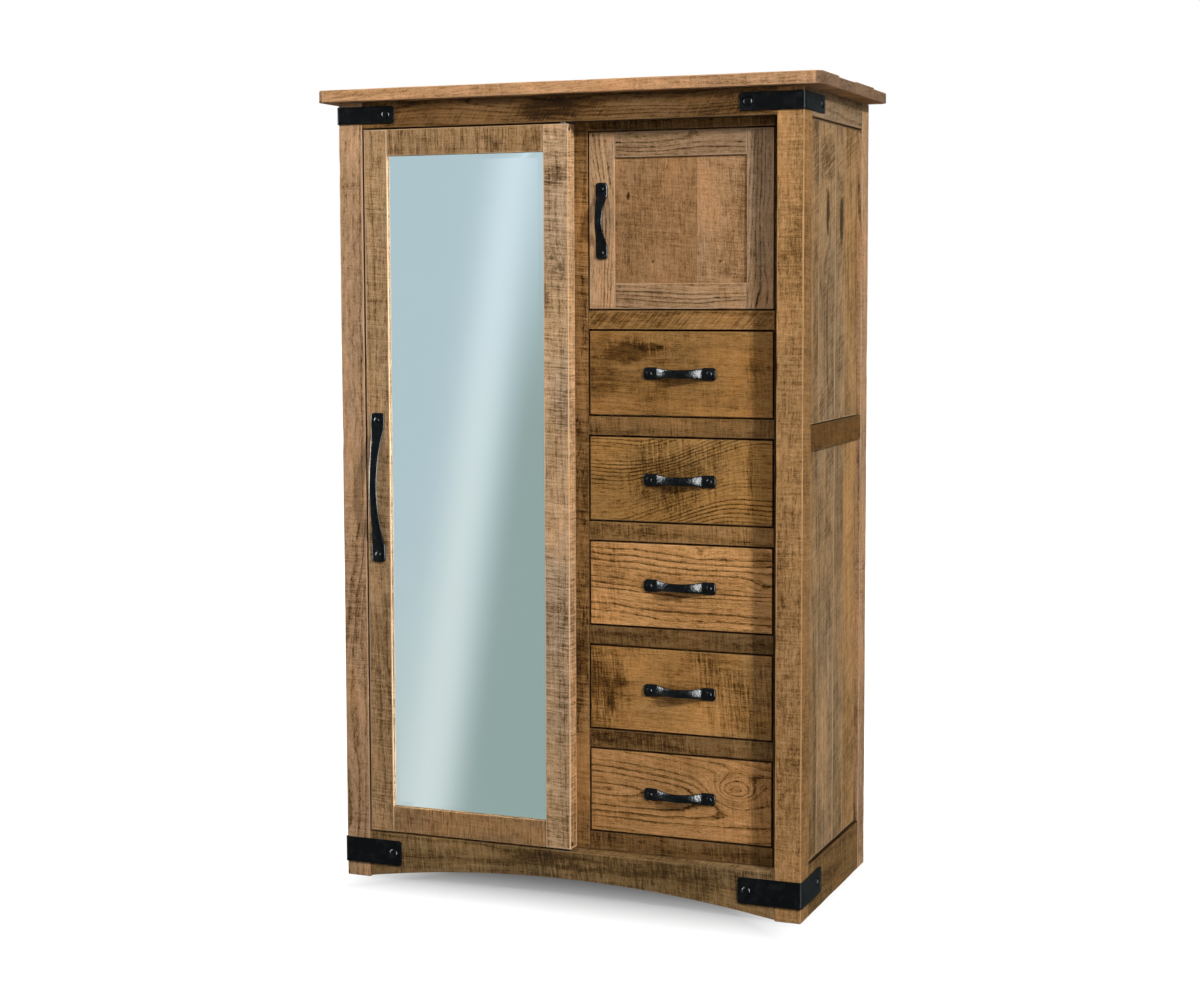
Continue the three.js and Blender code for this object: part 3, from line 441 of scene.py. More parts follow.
# %% [markdown]
# Along the grain run the fibres, long faint streaks, and the open vessels, which are
# crowded in the early wood at the start of each ring. All of these are noise that is
# stretched along the board and squeezed across the rings, so that it follows them.

# %% Fibres and vessels
def along_the_grain(r, years, across, rings, figure):
    """The early wood, (rise of the year) times (its fall), then streaks, fibres and
    vessels: noise in a space whose middle axis is the distance from the pith."""
    grain = r.vector("ADD", r.node("CombineXYZ", {0: r.spot[0], 1: years, 2: across}), r.shift)
    count = r.calc("DIVIDE", years, rings)
    year = r.calc("FRACT", count)
    early = r.calc("MULTIPLY", r.ease(year, 0.0, 0.1), r.ease(year, 0.12, 0.55, 1.0, 0.0))
    bold = r.noise(r.node("CombineXYZ", {0: r.calc("MULTIPLY", count, 0.4), 1: r.tone[2]}), 1.0, 1)
    early = r.calc("MULTIPLY", early, r.ease(bold, 0.38, 0.6, 0.2, 1.0))
    streak = r.there((3.0, 120.0, 60.0), 3, 0.6, at=grain)
    fibre = r.there((26.0, 400.0, 300.0), 3, 0.65, at=grain)
    vessel = r.ease(r.there((52.0, 460.0, 330.0), 2, 0.6, at=grain), 0.54, 0.66)
    vessel = r.calc("MULTIPLY", vessel, r.calc("MULTIPLY_ADD", early, 1.1 * figure + 0.3, 0.35))
    return early, streak, fibre, vessel


print("vessels are drawn by noise about", round(1000 / 52), "mm long and", round(1000 / 460, 1), "mm wide")

# %% [markdown]
# The saw left lines across the boards, leaning where the log went through askew. They
# come in patches, since later planing and wear took the rest off. The lines here are
# noise squeezed along the board and stretched across it, in two widths, with ticks.

# %% Marks of the saw
def saw_marks(r, lean, everywhere):
    """Where the marks are, from `everywhere` to 1, then the lines and the ticks there, in
    a space slanted by x + lean y."""
    askew = r.calc("MULTIPLY_ADD", r.spot[1], lean, r.spot[0])
    slanted = r.vector("ADD", r.node("CombineXYZ", {0: askew, 1: r.spot[1], 2: r.spot[2]}), r.shift)
    where = r.there((8.0, 4.0, 4.0), at=r.vector("ADD", r.apart, (9.1, 3.3, 1.2)))
    where = r.ease(where, 0.44, 0.6, everywhere, 1.0)
    broad = r.there((190.0, 6.0, 6.0), 2, 0.7, at=slanted)
    fine = r.there((420.0, 34.0, 34.0), 2, 0.7, at=slanted)
    lines = r.calc("MULTIPLY", r.weighed((broad, 0.5, 0.8), (fine, 0.5, 0.9)), where)
    ticks = r.ease(r.there((240.0, 55.0, 55.0), 1, at=slanted), 0.6, 0.72)
    return where, lines, r.calc("MULTIPLY", ticks, where)


print("saw lines are about", round(1000 / 190), "and", round(1000 / 420), "mm apart")

# %% [markdown]
# One colour isn't enough for wood. Its pores are nearly black, and its rubbed fibres
# are paler and less warm than the board. The arrises are made pale, partly as wear by
# hands and cloths and partly as a painted highlight. End grain drinks the stain and goes
# dark. The long edges inside a gap are painted dark as shade, some lit edges lighter as
# painted light, and one broad face of a post darker as painted shade.

# %% Shades, and the board's edges
# how far in the arrises turn pale: partly wear, partly a painted highlight
RUBBED_AND_HIGHLIT_FROM, RUBBED_AND_HIGHLIT_TO = 0.003, 0.0004


def shades_of(r, value, middle):
    """Looks the value up on a line of five shades of one colour."""
    shades = [(0.0, middle * [0.1, 0.085, 0.07]), (0.28, middle * [0.42, 0.38, 0.32]), (0.52, middle),
              (0.75, middle * [1.42, 1.48, 1.66]), (1.0, middle * [1.85, 2.05, 2.6])]
    ramp = r.node("ValToRGB", {0: value}, out=None)
    stops = ramp.color_ramp.elements
    while len(stops) < len(shades):
        stops.new(0.5)
    for stop, (position, shade) in zip(stops, shades):
        stop.position, stop.color = position, tuple(shade) + (1.0,)
    return ramp.outputs[0]


def worn_edges(r, base, middle, unevenness, pale, edges, painted_face_shade):
    """Distances in from the board's faces, half - |place|: the middle one of the three is
    the distance from the nearest arris, which turns pale as wear and as a painted
    highlight. The tint for the long edges is painted shade in gaps, or painted light on
    lit edges, and the tint for one broad face, with that face's half thickness, is
    painted shade."""
    inside = r.split(r.vector("SUBTRACT", r.half, r.vector("ABSOLUTE", r.place)))
    low, high = (r.calc(which, inside[0], inside[1]) for which in ("MINIMUM", "MAXIMUM"))
    arris = r.calc("MAXIMUM", low, r.calc("MINIMUM", high, inside[2]))
    # wear and painted highlight: the arris is blended towards a pale colour
    rubbed_and_highlit = r.ease(r.calc("ADD", arris, unevenness), RUBBED_AND_HIGHLIT_TO, RUBBED_AND_HIGHLIT_FROM, 1.0, 0.0)
    base = r.blend(r.calc("MULTIPLY", rubbed_and_highlit, pale), base, tuple(middle * [1.7, 1.9, 2.4]) + (1.0,))
    base = r.tinted(base, r.ease(inside[0], 0.0002, 0.0012, 0.85, 0.0), (0.27, 0.31, 0.4))
    # painted shade in the gaps, or painted light on lit edges: a tint on the long edges
    if edges:
        base = r.tinted(base, r.ease(inside[1], 0.0003, 0.0009, 1.0, 0.0), edges)
    # painted shade: one broad face made darker than the rest of the board
    if painted_face_shade:
        face, tint = painted_face_shade
        outer = r.calc("SUBTRACT", r.spot[2], inside[2])
        base = r.tinted(base, r.ease(outer, face - 0.0012, face - 0.0006), tint)
    return base


print("arrises are rubbed pale from", RUBBED_AND_HIGHLIT_FROM * 1000, "mm in")

# %% [markdown]
# The wood finish puts all of this together in one value from dark to pale, and turns
# it into a colour. Grey and warm patches lie over it, as on any old board, with a
# board's own strength and warmth. The same marks make the bumps and the gloss.

# %% The wood finish
MIDDLE_VALUE, WOOD_ROUGHNESS = 0.53, 0.72


def wood(name, colour, rings=0.011, pith=(0.0, 0.06), tilt=(0.02, 0.0), wave=0.012, sweep=None,
         figure=0.4, vessels=0.5, streaks=0.5, fibres=0.75, saw=0.5, saw_lean=0.08, everywhere=0.2,
         patches=0.5, grey=0.3, knots=(), knot_dark=0.6, knot_push=2.2, stains=(), pale=0.4,
         edges=None, painted_face_shade=None):
    """Makes one wood. Its value is the middle value plus each mark's distance from its
    own middle times a weight, less the knots and stains, which fade out in their ovals."""
    made, r, shader = new_finish(name, WoodRecipe, Specular_IOR_Level=0.05)
    years, across, rims = year_rings(r, pith, tilt, wave, sweep, knots, knot_push)
    early, streak, fibre, vessel = along_the_grain(r, years, across, rings, figure)
    where, lines, ticks = saw_marks(r, saw_lean, everywhere)
    cloud = r.there((4.0, 8.0, 8.0), 3, 0.55)
    patch = r.there((2.6, 6.0, 6.0), 3, 0.6, at=r.vector("ADD", r.apart, (4.4, 2.2, 7.7)))
    mottle = r.there((38.0, 60.0, 60.0), 4, 0.65)
    speck = r.there((210.0, 420.0, 300.0), 2, 0.7)
    value = r.calc("ADD", MIDDLE_VALUE, r.weighed(
        (cloud, 0.5, 1.0 * patches), (early, 0.25, -0.45 * figure), (streak, 0.5, streaks),
        (fibre, 0.5, fibres), (speck, 0.5, 0.6), (mottle, 0.5, 0.45), (vessel, 0.1, -0.9 * vessels),
        (lines, 0.0, 1.5 * saw), (ticks, 0.06, -0.2 * saw), (where, 0.4, -0.1 * saw)))
    for far in rims:
        ragged = r.weighed((patch, 0.5, 2.0), (mottle, 0.5, 3.0), (fibre, 0.5, 2.5))
        core = r.ease(r.calc("ADD", far, ragged), 0.0, 2.2, 1.0, 0.0)
        value = r.calc("SUBTRACT", value, r.calc("MULTIPLY", core, knot_dark))
    for x, y, long, tall, force in stains:
        ragged = r.weighed((cloud, 0.5, 3.0), (lines, 0.0, 3.0), (ticks, 0.1, -0.5))
        core = r.ease(r.calc("ADD", r.oval(x, y, long, tall), ragged), 0.0, 1.4, 1.0, 0.0)
        value = r.calc("SUBTRACT", value, r.calc("MULTIPLY", core, force))
    middle = np.array(linear(colour)[:3])
    base = shades_of(r, value, middle)
    base = r.tinted(base, r.calc("MULTIPLY", r.ease(patch, 0.44, 0.62), grey), (0.8, 0.9, 1.12))
    base = r.tinted(base, r.calc("MULTIPLY", r.ease(cloud, 0.5, 0.68), 0.6), (1.1, 0.97, 0.82))
    base = r.tinted(base, r.calc("MULTIPLY", where, 0.5 * grey), (0.9, 0.96, 1.08))
    base = r.tinted(base, r.ease(r.tone[1], 0.5, 1.0), (1.14, 0.98, 0.7))
    base = r.tinted(base, r.ease(r.tone[1], 0.0, 0.5, 1.0, 0.0), (0.9, 1.0, 1.2))
    unevenness = r.weighed((cloud, 0.5, 0.008), (fibre, 0.5, 0.003))
    base = worn_edges(r, base, middle, unevenness, pale, edges, painted_face_shade)
    r.feed(shader.inputs["Base Color"], r.scaled(base, r.tone[0]))
    sheen = r.weighed((streak, 0.5, 0.2), (cloud, 0.5, 0.3))
    r.feed(shader.inputs["Roughness"], r.calc("ADD", WOOD_ROUGHNESS, sheen))
    height = r.weighed((lines, 0.0, 1.6 * saw + 0.3), (fibre, 0.5, 0.5), (vessel, 0.0, -0.7),
                       (ticks, 0.0, -0.3), (early, 0.0, -0.2))
    bump = r.node("Bump", {"Strength": 0.6, "Distance": 0.0009, "Height": height})
    r.feed(shader.inputs["Normal"], bump)
    return made


print("a plain spot of wood has the value", MIDDLE_VALUE, "and the roughness", WOOD_ROUGHNESS)

# %% [markdown]
# The case is sandy where it was planed and umber on the rails, and the edges inside the
# gaps are painted grey brown as shade. Where the photograph shows a knot or a stain, the
# board has it there: a knot is (along, across, size, stretch), a stain (along, across,
# long, tall, force), in metres.

# %% Woods of the case
# painted shade: the tint that darkens the long edges facing a gap
gap_shade = (0.2, 0.18, 0.17)
umber = {"pale": 0.35, "edges": gap_shade, "vessels": 0.4, "patches": 1.0}
# Painted shade on the posts: the long stain low down makes them darker towards the bottom, and the tint on
# each post's +x face darkens the gap beside the mirror door.
post_wood = wood("post_wood", (160, 125, 90), pith=(0.035, 0.05), wave=0.03, figure=0.6, vessels=0.3,
                 streaks=0.35, saw=0.35, patches=0.55, stains=[(-0.7, 0.0, 0.5, 0.2, 0.07)], pale=0.8,
                 painted_face_shade=(0.03, (0.3, 0.27, 0.25)))
# painted shade: the tint darkens the post's side face, facing +x, against its front
right_post_wood = wood("right_post_wood", (156, 117, 73), pith=(0.05, 0.08), figure=0.1, vessels=0.2,
                       streaks=0.2, saw=0.4, everywhere=0.8, patches=0.7, grey=0.15, pale=0.7,
                       painted_face_shade=(0.03, (0.65, 0.63, 0.59)))
top_wood = wood("top_wood", (168, 126, 86), pith=(0.02, 0.09), figure=0.35, vessels=0.4, saw=0.3,
                patches=0.6, pale=0.5)
rail_wood = wood("rail_wood", (103, 75, 42), rings=0.01, pith=(0.01, 0.08), saw=0.9, everywhere=0.6, **umber)
lintel_wood = wood("lintel_wood", (108, 78, 45), rings=0.008, pith=(0.02, 0.03), wave=0.03, figure=0.6,
                   saw=0.35, saw_lean=-0.6, grey=0.5, **umber,
                   stains=[(-0.04, 0.0, 0.07, 0.02, 0.3), (0.05, 0.01, 0.05, 0.012, 0.2),
                           (-0.4, 0.0, 0.18, 0.08, 0.18)])
foot_wood = wood("foot_wood", (114, 88, 54), rings=0.02, pith=(0.01, 0.08), vessels=0.3, saw=0.8,
                 everywhere=0.6, patches=1.2, grey=0.5, pale=0.3)
# painted shade: the shelf front's long edges are darkened as the gap under the small door
chatter_wood = wood("chatter_wood", (134, 98, 56), rings=0.02, pith=(0.1, 0.1), figure=0.2, vessels=0.4,
                    saw=0.7, saw_lean=-0.9, everywhere=0.9, patches=0.6, pale=0.3, edges=gap_shade)
inner_wood = wood("inner_wood", (158, 122, 84), rings=0.012, pith=(0.05, 0.1), vessels=0.3, saw=0.2,
                  pale=0.2)
side_facts = {"colour": (143, 113, 77), "pith": (0.03, 0.08), "figure": 0.35, "vessels": 0.3, "streaks": 0.3,
              "saw": 0.52, "saw_lean": -0.35, "everywhere": 0.6, "patches": 1.0, "grey": 0.5, "pale": 1.0}
side_wood = wood("side_wood", **side_facts)
side_wood_a = wood("side_wood_a", **side_facts, knots=[(0.134, 0.006, 0.012, 3.6)],
                   stains=[(-0.29, -0.04, 0.05, 0.02, 0.4), (0.25, 0.0, 0.06, 0.05, 0.16)])
side_wood_b = wood("side_wood_b", **side_facts, knots=[(0.115, 0.007, 0.010, 4.4)], knot_dark=0.75,
                   stains=[(0.05, 0.0, 0.02, 0.02, 0.3), (-0.2, 0.01, 0.09, 0.03, 0.14)])
print("woods so far:", len(finish_names))

# %% [markdown]
# The doors were planed smoother and are paler. The right stile of the mirror door
# still shows the saw all over, with two small knots side by side, and the panel of
# the small door has one tiny knot.

# %% Woods of the doors
# Painted shade and light on the mirror door's left stile: the long stain low down makes it darker towards the
# bottom, and its long edges are tinted cooler as painted light.
door_wood = wood("door_wood", (160, 126, 88), pith=(0.03, 0.07), figure=0.3, vessels=0.25, streaks=0.3,
                 saw=0.4, everywhere=0.45, stains=[(-0.6, 0.0, 0.5, 0.2, 0.09)], pale=1.0,
                 edges=(0.92, 0.98, 1.1))
# painted shade: the long edges of the mirror door's rails are tinted a little darker
door_rail_wood = wood("door_rail_wood", (146, 112, 74), pith=(0.06, 0.08), figure=0.15, vessels=0.15,
                      streaks=0.15, fibres=0.5, saw=0.8, saw_lean=0.02, everywhere=0.9, patches=0.6,
                      pale=0.7, edges=(0.85, 0.84, 0.8))
# painted light: the long edges of the mirror door's right stile are tinted lighter
stile_wood = wood("stile_wood", (168, 134, 96), pith=(0.05, 0.06), figure=0.3, vessels=0.2, streaks=0.15,
                  fibres=0.5, saw=0.65, everywhere=0.7, patches=0.9, grey=0.6, pale=0.8,
                  edges=(1.15, 1.1, 1.0), knots=[(0.499, 0.012, 0.006, 1.6), (0.52, -0.01, 0.004, 1.5)],
                  knot_dark=0.25, stains=[(0.432, -0.026, 0.03, 0.012, 0.22), (0.7, 0.0, 0.02, 0.03, 0.15)])
leaf_wood = wood("leaf_wood", (152, 119, 84), rings=0.007, pith=(0.03, 0.03), wave=0.03, figure=0.8,
                 saw=0.25, pale=0.9)
infill_wood = wood("infill_wood", (155, 117, 79), rings=0.02, pith=(0.2, 0.1), figure=0.05, vessels=0.15,
                   streaks=0.15, saw=0.35, everywhere=0.7, patches=0.6, knots=[(0.0535, -0.063, 0.003, 2.4)],
                   stains=[(-0.09, -0.005, 0.003, 0.003, 0.5)], pale=0.2)
print("woods so far:", len(finish_names))

# %% [markdown]
# A drawer front is one wide board of honey-coloured wood, and each one has its own
# figure: where its pith lay, how far apart its rings are, its knots and its stains.
# The second was cut from a bowed trunk, so its arches sweep across.

# %% Woods of the drawer fronts
front_facts = [
    {"colour": (148, 108, 60), "rings": 0.03, "pith": (-0.2, 0.1), "figure": 0.15, "saw": 0.35,
     "patches": 0.8,
     "knots": [(-0.091, 0.056, 0.005, 1.2), (-0.047, 0.058, 0.004, 2.2)],
     "stains": [(-0.125, 0.047, 0.055, 0.026, 0.28), (-0.07, 0.058, 0.03, 0.012, 0.25),
                (0.166, 0.02, 0.04, 0.035, 0.26), (-0.19, 0.0, 0.04, 0.1, 0.18)]},
    {"colour": (141, 107, 63), "rings": 0.009, "pith": (-0.3, 0.02), "wave": 0.014,
     "sweep": (-0.15, 0.16, 0.1), "figure": 1.1, "vessels": 0.8, "saw": 0.45, "everywhere": 0.5,
     "patches": 0.7, "grey": 0.6,
     "stains": [(0.162, 0.03, 0.01, 0.09, 0.3), (0.0, 0.02, 0.12, 0.07, 0.2)]},
    {"colour": (172, 127, 78), "rings": 0.0125, "pith": (-0.14, 0.08), "tilt": (0.04, 0.0), "wave": 0.02,
     "figure": 0.85, "vessels": 0.6, "saw": 0.25, "patches": 0.8, "grey": 0.1,
     "knots": [(0.047, 0.078, 0.005, 1.4), (0.2, 0.01, 0.006, 2.0)], "knot_dark": 0.25,
     "stains": [(0.19, 0.07, 0.03, 0.02, 0.25), (-0.19, 0.0, 0.06, 0.15, 0.12)]},
    {"colour": (157, 115, 65), "rings": 0.03, "pith": (0.2, 0.1), "figure": 0.12, "saw": 0.7, "patches": 1.0,
     "grey": 0.7,
     "stains": [(-0.162, -0.03, 0.009, 0.032, 0.18), (-0.122, -0.034, 0.007, 0.02, 0.18),
                (-0.14, 0.015, 0.02, 0.014, 0.15), (-0.18, 0.0, 0.08, 0.15, 0.18),
                (0.03, 0.03, 0.14, 0.04, 0.12)]},
    {"colour": (170, 124, 74), "rings": 0.0125, "pith": (-0.01, 0.035), "tilt": (0.05, 0.12), "wave": 0.016,
     "figure": 0.85, "vessels": 0.6, "saw": 0.3, "patches": 0.7, "grey": 0.15,
     "knots": [(0.129, 0.022, 0.011, 1.7)], "knot_dark": 0.12, "knot_push": 6.0,
     "stains": [(0.19, 0.0, 0.03, 0.15, 0.12)]},
]
# painted shade: the long edges of each drawer front are darkened as the gaps round it
front_woods = [wood(f"front_{k + 1}_wood", edges=gap_shade, pale=0.3, **facts)
               for k, facts in enumerate(front_facts)]
print("woods in all:", len(finish_names))

# %% [markdown]
# The iron was forged and blackened. Its colour is nearly black, its surface has the
# shallow dents of a hammer, and it is a little paler and rougher where it wore. The
# pulls shine more than the straps, since hands polish them.

# %% Black iron
def iron(name, colour, rough, hammer, size, shine):
    """Makes one iron: dents `size` to the metre and `hammer` deep, under fine grit."""
    made, r, shader = new_finish(name, Specular_IOR_Level=shine)
    at = r.node("TexCoord", out=3)
    dents = r.node("TexVoronoi", {"Vector": at, "Scale": size}, feature="SMOOTH_F1")
    grit = r.noise(at, 900.0, 3, 0.6)
    wear = r.noise(at, 60.0, 4, 0.6)
    dark = linear(colour)
    light = tuple(np.array(dark[:3]) * 2.0 + 0.003) + (1.0,)
    r.feed(shader.inputs["Base Color"], r.blend(r.ease(wear, 0.48, 0.72), dark, light))
    r.feed(shader.inputs["Roughness"], r.calc("ADD", rough, r.weighed((wear, 0.5, 0.35), (grit, 0.5, 0.2))))
    height = r.weighed((dents, 0.0, hammer), (grit, 0.5, 0.12), (wear, 0.5, 0.3))
    r.feed(shader.inputs["Normal"], r.node("Bump", {"Strength": 0.5, "Distance": 0.001, "Height": height}))
    return made


pull_iron = iron("pull_iron", (6, 6, 7), 0.19, 0.8, 260.0, 0.14)
head_iron = iron("head_iron", (5, 5, 6), 0.2, 0.8, 300.0, 0.14)
strap_iron = iron("strap_iron", (11, 12, 13), 0.38, 0.2, 60.0, 0.035)
print("irons:", finish_names[-3:])

# %% [markdown]
# The camera stands to the right of the cabinet, a little below eye height and about
# five metres away, and looks slightly down. Its place and its turn were fitted to the corners of the
# object in the photograph. Its axes are built from three angles, one after another.

# %% The camera
azimuth, pitch, roll = math.radians(21.719), math.radians(-4.611), math.radians(-0.169)
ahead = np.array([-math.sin(azimuth), math.cos(azimuth), 0.0])
right = np.array([math.cos(azimuth), math.sin(azimuth), 0.0])
up = np.array([0.0, 0.0, 1.0])
gaze = math.cos(pitch) * ahead + math.sin(pitch) * up
crown = math.cos(pitch) * up - math.sin(pitch) * ahead
right, crown = (math.cos(roll) * right + math.sin(roll) * crown,
                math.cos(roll) * crown - math.sin(roll) * right)
camera = bpy.data.objects.new("camera", bpy.data.cameras.new("camera"))
bpy.context.scene.collection.objects.link(camera)
turned = Matrix(np.column_stack([right, crown, -gaze]).tolist()).to_4x4()
camera.matrix_world = Matrix.Translation((1.8155, -4.5859, 1.3785)) @ turned
camera.data.sensor_width, camera.data.lens = 36.0, 63.514
camera.data.shift_x, camera.data.shift_y = 0.0, -0.035
bpy.context.scene.camera = camera
print("the camera has a lens of", round(camera.data.lens, 1), "mm")

# %% [markdown]
# The top is four planks glued edge to edge, planed by hand and so not quite level
# with one another. Its corners are rounded in plan. Only the first and the last plank
# have a corner, and their ends are drawn in towards it.

# %% The top
top_half, top_low, top_high = 599, 1801, 1829
plank_seams = [-24.0, 110.4, 256.0, 407.2, 536.0]
plank_drops = [0.0, 3.0, 0.6, 3.4]
plank_tints = [(1.0, 0.55), (0.95, 0.4), (1.02, 0.45), (0.93, 0.5)]
corner_radius, glue_line = 20.0, 0.02


def round_plan(own, edge, centre):
    """Draws the ends in towards a rounded plan corner: at depth d behind the edge the
    length loses r - sqrt(r^2 - (r - d)^2)."""
    d = np.abs(own[:, 1] + centre - edge).clip(0, corner_radius)
    lost = corner_radius - np.sqrt(np.maximum(corner_radius**2 - (corner_radius - d) ** 2, 0))
    own[:, 0] *= 1 - lost / top_half
    return own


planks = []
for k, (a, b) in enumerate(zip(plank_seams, plank_seams[1:])):
    edge = plank_seams[0] if k == 0 else plank_seams[-1] if k == 3 else None
    bend = None if edge is None else (lambda own, e=edge, c=(a + b) / 2: round_plan(own, e, c))
    depth = (a + glue_line * (k > 0), b - glue_line * (k < 3))
    span = [(-top_half, top_half), depth, (top_low, top_high - plank_drops[k])]
    planks.append(board(span, "x", top_wood, plank_tints[k], shape=bend, seed=11 + k, arris=3.0, wobble=0.5,
                        caps=(0.5, 0.68, 0.76, 0.84, 0.92, 0.98), jointed=True))
piece("top_board_skin", planks, "case")
print("the top has", len(planks), "planks")

# %% [markdown]
# Four posts carry the case. The front left one has a thin strip that the mirror door
# closes against, which also keeps dust out.

# %% Posts
front_span = [(0, post_depth), (0, case_height)]
stop_strip = [(-495.5, -482), (38.3, 60.5), (on_floor, 1740.7)]
left_post = board([(-case_half, -opening_half), *front_span], "z", post_wood, (1.0, 0.45), seed=3, arris=2.2)
right_post = board([(opening_half, case_half), *front_span], "z", right_post_wood, seed=5, arris=2.6)
piece("front_left_post_skin", [left_post, board(stop_strip, "z", inner_wood, step=20)], "case")
piece("front_right_post_skin", [right_post], "case")
for side, sign in SIDES:
    x = sorted((sign * opening_half, sign * case_half))
    back_post = board([x, (back_post_front, case_depth), (0, case_height)], "z", post_wood, (0.9, 0.5),
                      arris=2, seed=7 + sign)
    piece(f"back_{side}_post_skin", [back_post], "case")
print("posts are", post_width, "x", post_depth, "mm")

# %% [markdown]
# The rails tie the posts together. The bottom one is sawn to a low arch between two
# feet. Its lower edge is lifted to a circle, and the rest of the board is squeezed
# up under its straight top edge.

# %% Front rails
arch_rise, arch_foot = 41.0, 3.0
foot_rail_half, foot_rail_height = 54.0, 108


def arched(own):
    """Lifts the lower edge to a flat arch, a circle through the two feet and the crown,
    whose radius is (half^2 + rise^2) / (2 rise)."""
    radius = (rail_reach**2 + arch_rise**2) / (2 * arch_rise)
    lift = arch_foot + np.sqrt(radius**2 - own[:, 0] ** 2) - (radius - arch_rise)
    own[:, 1] = foot_rail_half - (foot_rail_half - own[:, 1]) * (foot_rail_height - lift) / foot_rail_height
    return own


rail_span = [(-rail_reach, rail_reach), (0, rail_back)]
lintel = board([*rail_span, (1741, under_top)], "x", lintel_wood, (0.93, 0.55), seed=21)
foot_rail = board([*rail_span, (0, foot_rail_height)], "x", foot_wood, (1.12, 0.5), shape=arched, seed=23)
piece("front_top_rail_skin", [lintel], "case")
piece("front_bottom_rail_skin", [foot_rail], "case")
print("the arch rises", arch_rise, "mm")

# %% [markdown]
# Each side is a frame of three rails between the posts, with upright boards set back
# in it. The right side is the one in the photograph: the left side is its mirror
# image. The bottom rail carries a ledge for the floor boards.

# %% Side rails and side panels
side_depth = (62.3, 479.7)
side_rails = [("top", 1741, under_top, (0.68, 0.15)), ("middle", 1023.9, 1079.9, (0.55, 0.8)),
              ("bottom", 0, 115, (0.78, 0.35))]
ledge = [(507, 526.9), side_depth, (64.7, 89.7)]
side_panels = [("upper", 1080.1, 1740.8, (side_wood, side_wood_a, side_wood_b, side_wood), 46),
               ("lower", 115.2, 1023.7, (side_wood,) * 4, 91)]
panel_seams = [62.5, 149.6, 284.0, 366.0, 479.5]
panel_tints = [(0.74, 0.6), (0.88, 0.4), (0.78, 0.4), (0.87, 0.8)]
rear_gap = 4.5


def both_sides(name, parts):
    """Makes a piece of the parts on the right side, and one of their mirror image on the
    left, with the side's name in front."""
    for side, sign in SIDES:
        piece(f"{side}_{name}_skin", parts if sign > 0 else [flipped(p) for p in parts], "case")


for place, low, high, tint in side_rails:
    rail = board([(527, case_half), side_depth, (low, high)], "y", side_wood if place == "top" else rail_wood,
                 tint, seed=31 + int(low) % 7)
    parts = [rail] + ([board(ledge, "y", inner_wood, step=20)] if place == "bottom" else [])
    both_sides(f"side_{place}_rail", parts)
for place, low, high, finishes, first_seed in side_panels:
    parts = []
    for k, (a, b) in enumerate(zip(panel_seams, panel_seams[1:])):
        depth = (a + glue_line, b - (rear_gap if k == 3 else glue_line))
        span = [(533, 545 - 0.5 * (k % 2)), depth, (low, high)]
        parts.append(board(span, "z", finishes[k], panel_tints[k], seed=first_seed + k, jointed=True))
    both_sides(f"side_{place}_panel", parts)
print("each side has", len(side_rails), "rails and", len(panel_tints), "boards in a panel")

# %% [markdown]
# Nobody sees the back and the inside in the photograph. Plain upright boards close
# the back, and three boards each make the floor and the centre partition, as a
# country joiner would have made them.

# %% Back, floor and partition
back_boards = []
for k in range(8):
    a = -493.6 + k * 123.4
    tint = (0.85 + 0.05 * (k % 3), 0.3 + 0.1 * (k % 4))
    back_boards.append(board([(a + 0.5, a + 122.9), (521, 530), (60, under_top)], "z", inner_wood, tint,
                             step=16, seed=61 + k))
piece("back_panel_skin", back_boards, "case")
floor_boards = [board([(-526.7, 526.7), (a, b - 0.6), (90, 108)], "x", inner_wood, (0.9, 0.4), step=20,
                      seed=71 + int(a)) for a, b in ((64, 220), (220, 370), (370, 520))]
piece("case_floor_skin", floor_boards, "case")
partition = [board([(6.5, 24.5), (a, b - 0.6), (on_floor, under_top)], "z", inner_wood, (0.95, 0.45), step=20,
                   seed=81 + int(a)) for a, b in ((64.3, 210), (210, 370), (370, 520.7))]
piece("centre_partition_skin", partition, "case")
print("boards in the back, the floor and the partition:", len(back_boards), len(floor_boards), len(partition))

# %% [markdown]
# The bank lies 42 mm behind the front of the case, in a face frame of its own. Under
# each drawer is a web frame: a rail in front, two runners that the drawer slides on,
# and two guides that keep it straight.

# %% The bank's frames
bank_plane, bank_back = 42.0, 64.0
bank_left, bank_right = 45.5, 477.5
bank_face = (bank_plane, bank_back)
rail_width, runner_depth = (45.8, 477.2), (64.3, 514.7)
stile_span = [bank_face, (on_floor, under_top)]
# painted light: the strong tints of the left stile and the top rail lighten boards that lie in the shade of
# the mirror door and of the top rail above
bank = [board([(-14.5, bank_left), *stile_span], "z", rail_wood, (1.75, 0.5), seed=91),
        board([(bank_right, rail_reach), *stile_span], "z", rail_wood, (1.1, 0.6), seed=92),
        board([(bank_left + 0.3, bank_right - 0.3), bank_face, (1721.5, under_top)], "x", rail_wood,
              (1.35, 0.6), seed=93)]
piece("bank_face_frame_skin", bank, "case")
rail_tints = [(1.2, 0.65), (1.6, 0.6), (1.0, 0.5), (1.15, 0.5), (1.05, 0.5)]
for k, base in enumerate(drawer_bases):
    low = base - 42 if k < 4 else on_floor
    parts = [board([rail_width, bank_face, (low, base)], "x", rail_wood, rail_tints[k], seed=101 + k)]
    for runner, guide in (((24.8, 64.8), (24.8, 49.2)), ((453.7, rail_reach), (473.8, rail_reach))):
        for x, z in ((runner, (base - 20, base - 0.2)), (guide, (base, base + 16))):
            parts.append(board([x, runner_depth, z], "y", inner_wood, (0.9, 0.4), step=25))
    piece(f"drawer_{k + 1}_web_frame_skin", parts, "case")
shelf = [board([rail_width, bank_face, (1285.5, 1327.5)], "x", chatter_wood, (1.0, 0.6), seed=111)]
shelf += [board([(24.8, rail_reach), depth, (1307.5, 1327.5)], "x", inner_wood, step=20)
          for depth in ((64.3, 290), (290.5, 520.7))]
